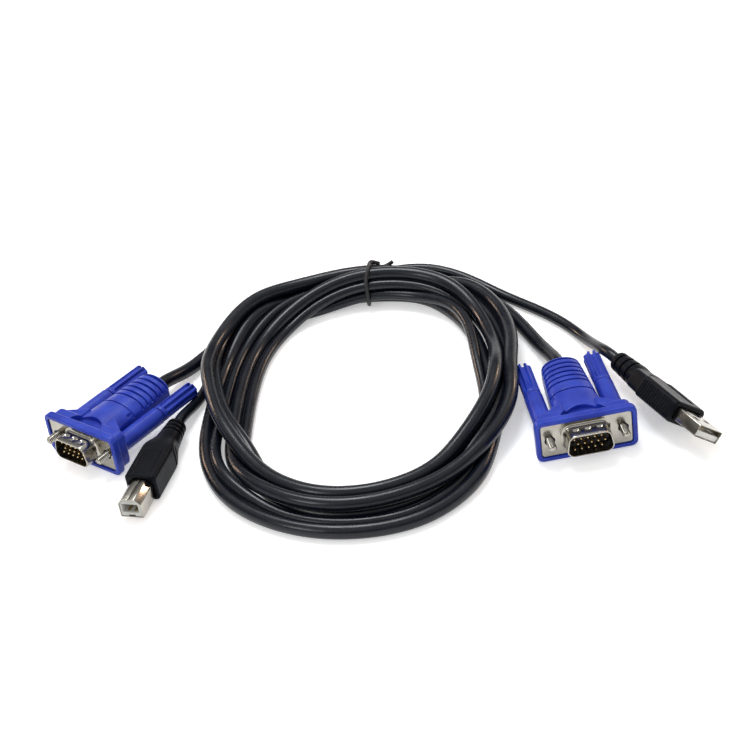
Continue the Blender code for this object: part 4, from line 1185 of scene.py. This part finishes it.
def knob():
    """Fluted knob behind the sleeve."""
    front = TOWER_END + SCREW_FIT
    rear = front + KNOB_LENGTH
    profile = ((front, 0.90), (front + 0.15, 0.96), (front + 0.5, 1.0), (rear - 1.1, 1.0),
               (rear - 0.5, 0.96), (rear - 0.15, 0.86), (rear, 0.74))
    made = solid("knob", [at(circle(KNOB_R * share, 64), y) for y, share in profile])
    flute = prism(circle(FLUTE_R, 20, (KNOB_R - 0.02, 0.0)), front + 1.6, rear + 1.0)
    combine(made, by_rule(solid("flute", flute), RING_OF, Count=KNOB_FLUTES))
    cut(made, box(-0.55, 0.55, rear - 2.0, rear + 1.0, -5.0, 5.0))
    cut(made, prism(circle(SCREW_D / 2 + SCREW_FIT, 32), front - 1.0,
                    TOWER_END + SCREW_TAIL + SCREW_FIT))
    return softened(made, 0.11, 3, 0.45)


def screw():
    """Screw with a rolled thread, a plain shank and a rounded nose."""
    profile = [(0.0, 0.30), (0.12, 0.55), (0.35, 0.80)]
    profile += [(y, 1.0) for y in np.arange(0.6, 6.6, THREAD_PITCH / 10)]
    profile += [(7.5, 1.0), (SCREW_REACH + TOWER_END + SCREW_TAIL, 1.0)]
    made = solid("screw", [at(circle(SCREW_D / 2 * share, 28), y - SCREW_REACH)
                           for y, share in profile])
    by_rule(made, THREAD, Pitch=THREAD_PITCH, Depth=THREAD_DEPTH, Until=PLATE_T + 0.4)
    made.data.shade_smooth()
    return made


knob_piece, screw_piece = knob(), screw()
print("knob:", len(knob_piece.data.polygons), "faces; screw:", len(screw_piece.data.polygons))

# %% Lay both monitor plugs
for side, place in (("left", VGA_LEFT), ("right", VGA_RIGHT)):
    prefix = "vga_" + side
    for part, source, paint, slot in (("hood", hood_piece, BLUE, "blue_pvc"),
                                      ("shell", shell_piece, NICKEL, "nickel"),
                                      ("insulator", core_piece, CORE_BLACK, "black_core"),
                                      ("pins", pins_piece, GOLD, "gold")):
        nodes = [f"{prefix}_{part}"]
        if part == "pins":
            nodes = [f"{prefix}_pin_{k:02d}" for k in range(1, 16)]
        laid(source, place, paint, slot, f"{prefix}_{part}_fine", nodes)
    for end, shift in (("left", -SCREW_X), ("right", SCREW_X)):
        for part, source, paint, slot in (("knob", knob_piece, BLUE, "blue_pvc"),
                                          ("screw", screw_piece, NICKEL, "nickel")):
            laid(source, place, paint, slot, f"{prefix}_{part}_{end}_fine",
                 [f"{prefix}_{part}_{end}"], f"{prefix}_thumbscrew_{end}", shift)
for source in (hood_piece, shell_piece, core_piece, pins_piece, knob_piece, screw_piece):
    bpy.data.objects.remove(source)
print("monitor plugs:", len(pieces), "pieces")

# %% [markdown]
# ## What both USB plugs share
# Both boots end in a tapering strain relief with three ring slots, and both have
# a framed panel above and below that is left plain.

# %% Shared USB tools
SLOT_W, SLOT_DEPTH = 0.9, 0.75
CORD_FIT = 0.2          # round a cord in its boot


def relief(outline, start, end, start_r, end_r):
    """Smooth tapering neck of a strain relief."""
    return [at(rounder(outline, start_r + (end_r - start_r) * t), start + (end - start) * t)
            for t in (0.0, 0.5, 0.96)] + [at(rounder(outline, end_r - 0.4), end)]


def ring_slots(target, start, end, start_r):
    """Three ring slots along a neck, from one cutter and the row rule."""
    pitch = (end - start) / 3.6
    inner, outer = circle(start_r - 0.15 - SLOT_DEPTH), circle(start_r - 0.15 + 3.0)
    low, high = -SLOT_W / 2, SLOT_W / 2
    ring = solid("ring_slot", [at(inner, low), *prism(outer, low, high), at(inner, high)],
                 loop=True)
    return combine(target, in_row(ring, 3, (0.0, pitch, 0.0), (0.0, start + pitch * 0.8, 0.0),
                                  0.075))


def framed_panel(target, side, top, frame_plan, pad_plan, depth, root, sunk):
    """A plain pad in a groove, on the boot's upper or lower face."""
    cut(target, slab(frame_plan, side * (top - depth), side * (top + 1.0)))
    weld(target, slab(pad_plan, side * (top - root), side * (top - sunk)))


def side_grooves(target, side, start, reach, half_w, half_h, count, pitch, narrowing=0.0):
    """A row of grooves in one flank of a boot; start is the first one's (x, y)."""
    flank = sorted((side * start[0], side * reach))
    item = solid("groove", box(*flank, -half_w, half_w, -half_h, half_h))
    combine(target, in_row(item, count, (0.0, pitch, 0.0), (0.0, start[1], 0.0), narrowing))


def socketed(boot, seat_outline, seat_end, length):
    """Cut the seat of the shell and the mouth of the cord, then soften the boot."""
    cut(boot, prism(seat_outline, -1.0, seat_end))
    cut(boot, prism(circle(THIN_D / 2 + CORD_FIT), length - 2.6, length + 1.0))
    return softened(boot, 0.15)


def welded(items):
    """Join objects into the first of them."""
    first, *others = items
    for other in others:
        combine(first, other, "UNION")
    return first


def lay_usb(plug, place, parts):
    """Make the parts of a USB plug and lay them; nodes is None where it has the part's name."""
    for part, maker, paint, slot, nodes in parts:
        source = maker()
        name = f"{plug}_{part}"
        laid(source, place, paint, slot, name + "_fine", [name] if nodes is None else nodes)
        print(name, len(source.data.polygons), "faces")
        bpy.data.objects.remove(source)


# %% [markdown]
# ## Flat USB plug
# The boot is a soft overmoulding: a wide grip with fine ridges on its sides, a
# plain panel and a strain relief. The shell is a folded sheet with two latch
# windows on each wide side.

# %% Flat USB plug
A_W, A_H, A_R, A_STEP, A_BODY, A_LENGTH = 16.0, 8.0, 1.9, 17.6, 25.0, 38.5
A_NECK = (A_BODY + 1.6, A_LENGTH, 4.4)      # start, end and first radius of the neck
A_SHELL_W, A_SHELL_H, A_WALL, A_REACH, A_SEAT = 12.0, 4.5, 0.32, 11.75, 5.0
A_FLOOR = 0.15 - A_SHELL_H / 2 + A_WALL     # underside of the tongue
A_RIDGES, A_RIDGE_PITCH, A_RIDGE_START = 11, 1.2, 3.4
A_WINDOWS = [(x, level) for x in (-3.0, 3.0) for level in (1.6, -2.6)]


def panel_plan(grow):
    """Panel with a round rear end, offset outward by grow."""
    turns = np.linspace(0, math.pi, 21)
    return ([(-4.3 - grow, 3.2 - grow), (4.3 + grow, 3.2 - grow)]
            + [((4.3 + grow) * math.cos(t), 19.0 + (2.5 + grow) * math.sin(t)) for t in turns])


def usb_a_boot():
    """Overmoulded grip and strain relief."""
    front, outline, waist = (refined(rounded_rect(A_W - w, A_H - h, A_R - r))
                             for w, h, r in ((0.8, 0.8, 0.4), (0.0, 0.0, 0.0), (1.4, 0.6, 0.0)))
    neck = rounder(waist, A_NECK[2])
    rings = [at(front, 0.0), at(outline, 0.4), at(outline, A_STEP), at(waist, A_STEP + 0.4)]
    rings += [at(mixed(waist, neck, share), A_BODY + y)
              for share, y in ((0.15, -1.2), (0.5, -0.1), (0.8, 0.8))]
    made = solid("boot", rings + relief(waist, *A_NECK, 3.6))
    ring_slots(made, *A_NECK)
    for side in (-1, 1):
        side_grooves(made, side, (A_W / 2 - 0.32, A_RIDGE_START), A_W / 2 + 1.0, 0.28, 3.0,
                     A_RIDGES, A_RIDGE_PITCH)
    for side in (1, -1):
        framed_panel(made, side, A_H / 2, panel_plan(0.0), panel_plan(-0.75), 0.6, 0.8, 0.28)
    seat = rounded_rect(A_SHELL_W + 0.35, A_SHELL_H + 0.35, 0.6)
    return socketed(made, seat, A_SEAT + 0.3, A_LENGTH)


def usb_a_shell():
    """Folded steel shell with two windows on each wide side and a seam below."""
    lip, outer, flared, inner = (
        rounded_rect(A_SHELL_W - less, A_SHELL_H - less, radius, 6)
        for less, radius in ((0.16, 0.47), (0.0, 0.55), (2 * A_WALL - 0.2, 0.4),
                             (2 * A_WALL, 0.3)))
    made = solid("shell", [at(lip, -A_REACH), at(outer, 0.1 - A_REACH), at(outer, A_SEAT)])
    cut(made, [at(flared, -A_REACH - 0.5), at(flared, -A_REACH + 0.05),
               at(inner, -A_REACH + 0.25), at(inner, A_SEAT + 1.0)])
    for x, level in A_WINDOWS:
        cut(made, box(x - 1.2, x + 1.2, -6.9, -4.9, level, level + 1.0))
    cut(made, box(-0.05, 0.05, -A_REACH - 1.0, A_SEAT + 1.0, -3.0, -2.0))
    return crisp(made, 0.06)


def usb_a_tongue():
    """White tongue with four contact channels."""
    half = A_SHELL_W / 2 - A_WALL - 0.15
    made = solid("tongue", box(-half, half, 0.4 - A_REACH, 4.5, A_FLOOR, A_FLOOR + 1.9))
    channel = solid("channel", box(-0.62, 0.62, 1.2 - A_REACH, 4.0, A_FLOOR + 1.62, 9.0))
    return crisp(combine(made, in_row(channel, 4, (2.2, 0.0, 0.0), (-3.3, 0.0, 0.0))), 0.07)


def usb_a_contacts():
    """Four gilt strips; the outer two reach further forward."""
    level = A_FLOOR + 1.68
    nose, full = ([(half, level + high), (-half, level + high), (-half, level), (half, level)]
                  for half, high in ((0.4, 0.1), (0.5, 0.2)))
    return crisp(welded(
        [in_row(solid("contact", [at(nose, start - A_REACH), at(full, start + 0.4 - A_REACH),
                                  at(full, 3.6)]), 2, (pitch, 0.0, 0.0), (-pitch / 2, 0.0, 0.0))
         for start, pitch in ((1.4, 6.6), (2.4, 2.2))]), 0.03)


lay_usb("usb_a", USB_A, (
    ("boot", usb_a_boot, BLACK, "black_pvc", None),
    ("shell", usb_a_shell, NICKEL, "nickel", None),
    ("tongue", usb_a_tongue, CORE_WHITE, "white_core", None),
    ("contacts", usb_a_contacts, GOLD, "gold", [f"usb_a_contact_{k}" for k in range(1, 5)])))

# %% [markdown]
# ## Square USB plug
# The boot is a square block with bevelled edges that turns round toward the
# cord, with three grip steps on each side. The shell is five-cornered above,
# with its seam on top, and the grey insert has the open cavity of this plug,
# where four contacts lie in pairs above and below.

# %% Square USB plug
B_W, B_H, B_BEVEL, B_BODY, B_SHOULDER, B_LENGTH = 11.4, 10.4, 1.5, 16.8, 26.0, 34.8
B_NECK = (B_SHOULDER + 0.8, B_LENGTH, 4.3)
B_SHELL_W, B_SHELL_H, B_CUT, B_WALL, B_REACH, B_SEAT = 8.45, 7.78, 2.05, 0.4, 10.9, 5.0
B_PANEL_Y, B_PAIR = 8.1, ((2.5, 0.0, 0.0), (-1.25, 0.0, 0.0))


def bevelled_square(width, height, bevel, steps=4):
    """Square outline with rounded bevels and points in the middle of its sides."""
    points = []
    for corner, (sx, sz) in CORNERS:
        points += [turned(corner, step, steps, bevel, sx * (width / 2 - bevel),
                          sz * (height / 2 - bevel)) for step in range(steps + 1)]
        ahead = ((0, 1), (-1, 0), (0, -1), (1, 0))[corner]
        points.append((ahead[0] * width / 2, ahead[1] * height / 2))
    return points


def b_outline(grow, corner=0.35):
    """The shell's outline: square below, chamfered above, with small round corners."""
    half_w, half_h = B_SHELL_W / 2 + grow, B_SHELL_H / 2 + grow
    cut_off = B_CUT + grow * (2 - math.sqrt(2))
    sharp = [Vector(p) for p in ((half_w, half_h - cut_off), (half_w - cut_off, half_h),
                                 (cut_off - half_w, half_h), (-half_w, half_h - cut_off),
                                 (-half_w, -half_h), (half_w, -half_h))]
    points = []
    for before, p, after in zip(sharp[-1:] + sharp, sharp, sharp[1:] + sharp[:1]):
        for share in (0.0, 0.33, 0.67, 1.0):
            a = p + (before - p).normalized() * corner * (1 - share)
            b = p + (after - p).normalized() * corner * share
            points.append(tuple(a.lerp(b, share)))
    return points


def usb_b_boot():
    """Overmoulded block and strain relief."""
    square, front = (refined(bevelled_square(B_W - less, B_H - less, B_BEVEL))
                     for less in (0.0, 0.8))
    neck = rounder(square, B_NECK[2])
    rings = [at(front, 0.0), at(square, 0.5), at(square, B_BODY)]
    for t in (0.2, 0.4, 0.6, 0.8, 1.0):
        rounding = t * t * (3 - 2 * t) * 0.95
        rings.append(at(mixed(square, neck, rounding), B_BODY + (B_SHOULDER - B_BODY) * t))
    made = solid("boot", rings + relief(square, *B_NECK, 3.5))
    ring_slots(made, *B_NECK)
    frame_plan, pad_plan = ([(x, y + B_PANEL_Y) for x, y in rounded_rect(*sizes)]
                            for sizes in ((7.0, 13.0, 0.8), (5.9, 11.9, 0.6)))
    for side in (-1, 1):
        side_grooves(made, side, (B_W / 2 - 0.5, B_BODY + 0.6), B_W / 2 + 1.0, 0.65, 3.6,
                     3, 2.3, 0.035)
        framed_panel(made, side, B_H / 2, frame_plan, pad_plan, 0.35, 0.7, 0.12)
    return socketed(made, b_outline(0.18), B_SEAT + 0.3, B_LENGTH)


def usb_b_shell():
    """Folded shell with its seam on top."""
    made = solid("shell", [at(b_outline(-0.08), -B_REACH), at(b_outline(0.0), 0.1 - B_REACH),
                           at(b_outline(0.0), B_SEAT)])
    cut(made, prism(b_outline(-B_WALL), -B_REACH - 1.0, B_SEAT + 1.0))
    cut(made, box(-0.13, 0.13, -B_REACH - 1.0, B_SEAT + 1.0, 2.0, 5.0))
    return crisp(made, 0.06)


def b_pair(name, half, start, end, side, near, far):
    """Two bars side by side, above or below the cavity."""
    bar = box(-half, half, start - B_REACH, end - B_REACH, *sorted((side * near, side * far)))
    return in_row(solid(name, bar), 2, *B_PAIR)


def usb_b_insert():
    """Grey insert with its cavity, keyway and contact channels."""
    inset = b_outline(-B_WALL - 0.06)
    made = solid("insert", [at(b_outline(-B_WALL - 0.2), 0.1 - B_REACH), at(inset, 0.25 - B_REACH),
                            at(inset, 4.5)])
    cut(made, [at(rounded_rect(5.9, 3.5, 0.25, 3), -B_REACH - 1.0),
               at(rounded_rect(5.6, 3.2, 0.2, 3), 8.6 - B_REACH)])
    cut(made, box(-1.2, 1.2, -B_REACH - 1.0, 2.4 - B_REACH, -8.0, -2.75))
    for side in (-1, 1):
        combine(made, b_pair("channel", 0.55, 0.9, 8.4, side, 1.4, 1.95))
    return crisp(made, 0.06)


def usb_b_contacts():
    """Four gilt strips, two above and two below the cavity."""
    return crisp(welded([b_pair("contact", 0.42, 1.2, 8.2, side, 1.62, 1.82)
                         for side in (-1, 1)]), 0.04)


lay_usb("usb_b", USB_B, (
    ("boot", usb_b_boot, BLACK, "black_pvc", None),
    ("shell", usb_b_shell, NICKEL, "nickel", None),
    ("insert", usb_b_insert, CORE_GREY, "grey_core", None),
    ("contacts", usb_b_contacts, GOLD, "gold", [])))

# %% [markdown]
# ## Join everything to the frame
# Each piece rides on its body and stands for its CAD nodes.

# %% Ride and replace
for made, paint, slot, nodes in (
        (vga_cord, JACKET, "black_pvc", ["cord_coil", "vga_cord_left", "vga_cord_right"]),
        (usb_cord, JACKET, "black_pvc", ["usb_cord_left", "usb_cord_right"]),
        (cord_web, BLACK, "black_pvc", []),
        (wire_tie, TIE, "tie_wire", ["wire_tie"])):
    made.data.materials.append(paint)
    measured_edges(made.data)
    pieces.append((made, "cable", nodes, slot))
for made, body, nodes, slot in pieces:
    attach(made, body)
    if nodes:
        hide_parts(*nodes)
print("declared", len(pieces), "pieces")

# %% [markdown]
# ## Floor and light
# The product lies on a pale sheet in soft studio light. Its white comes from the
# floor's own colour, lifted a little where it is seen or mirrored, so the soft
# shadow under the cords stays. The sky is a white wall all round, a dark gap and
# a pale ceiling: a black cord looks black only when it has something dark to
# mirror. Four soft boxes give the bright streaks, two of them warm.

# %% Floor and lamps
FLOOR_HALF = 12.0
FLOOR_GREY = 0.90
FLOOR_GLOW = 0.42
WHITE = (1.0, 1.0, 1.0)
WARM = (1.0, 0.70, 0.50)
COOL = (0.95, 0.97, 1.0)
# how high on the sky a band starts and ends, and its strength at both heights
WALL = (0.23, 0.33, 1.0, 0.10)
CEILING = (0.40, 0.78, 0.0, 0.64)

floor_mesh = bpy.data.meshes.new("floor")
floor_mesh.from_pydata([(x * FLOOR_HALF, y * FLOOR_HALF, 0)
                        for x, y in ((-1, -1), (1, -1), (1, 1), (-1, 1))], [], [(0, 1, 2, 3)])
floor = shown("floor", floor_mesh)
sheet = Finish("pale sheet", Roughness=0.9, Specular_IOR_Level=0.1,
               Base_Color=(FLOOR_GREY, FLOOR_GREY, FLOOR_GREY, 1.0), Emission_Color=(*WHITE, 1.0))
rays = sheet.node("ShaderNodeLightPath").outputs
seen = sheet.math("MAXIMUM", rays["Is Camera Ray"], rays["Is Glossy Ray"])
seen = sheet.math("MAXIMUM", seen, rays["Is Transmission Ray"])
sheet.set(Emission_Strength=sheet.math("MULTIPLY", seen, FLOOR_GLOW))
floor_mesh.materials.append(sheet.material)
floor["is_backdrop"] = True

world = bpy.data.worlds.new("studio")
bpy.context.scene.world = world
world.use_nodes = True
sky = Nodes(world.node_tree)
background = world.node_tree.nodes["Background"]
way = sky.node("ShaderNodeTexCoord").outputs["Generated"]
height = sky.math("ABSOLUTE", sky.node("ShaderNodeSeparateXYZ", {0: way}).outputs["Z"])
bands = [sky.value("ShaderNodeMapRange", {"Value": height, "From Min": low, "From Max": high,
                                          "To Min": first, "To Max": last},
                   interpolation_type="SMOOTHSTEP") for low, high, first, last in (WALL, CEILING)]
world.node_tree.links.new(sky.math("ADD", *bands), background.inputs["Strength"])
background.inputs["Color"].default_value = (*WHITE, 1.0)


def soft_box(name, place, width, power, tint=WHITE):
    """Square area lamp that looks at the middle of the coil."""
    data = bpy.data.lights.new(name, "AREA")
    data.size = width
    data.energy = power
    data.color = tint
    aim = (-Vector(place)).to_track_quat("-Z", "Y").to_matrix().to_4x4()
    shown(name, data).matrix_world = Matrix.Translation(place) @ aim


soft_box("overhead", (-0.10, 0.45, 1.1), 0.45, 7.0, COOL)
soft_box("front_left", (-0.8, -0.6, 0.7), 0.35, 2.5)
soft_box("warm_right", (0.80, 0.60, 0.45), 0.20, 2.2, WARM)
soft_box("warm_left", (-0.75, 0.75, 0.40), 0.20, 1.9, WARM)
bpy.context.scene.view_settings.view_transform = "Standard"
print("lamps ready")

# %% Measure and finish
new_box = [[float(v) for v in corner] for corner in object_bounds()]
for label, a, b in zip(("low", "high"), cad_box, new_box):
    print(label, "corner moved by", [round((v - u) * 1000, 2) for u, v in zip(a, b)], "mm")
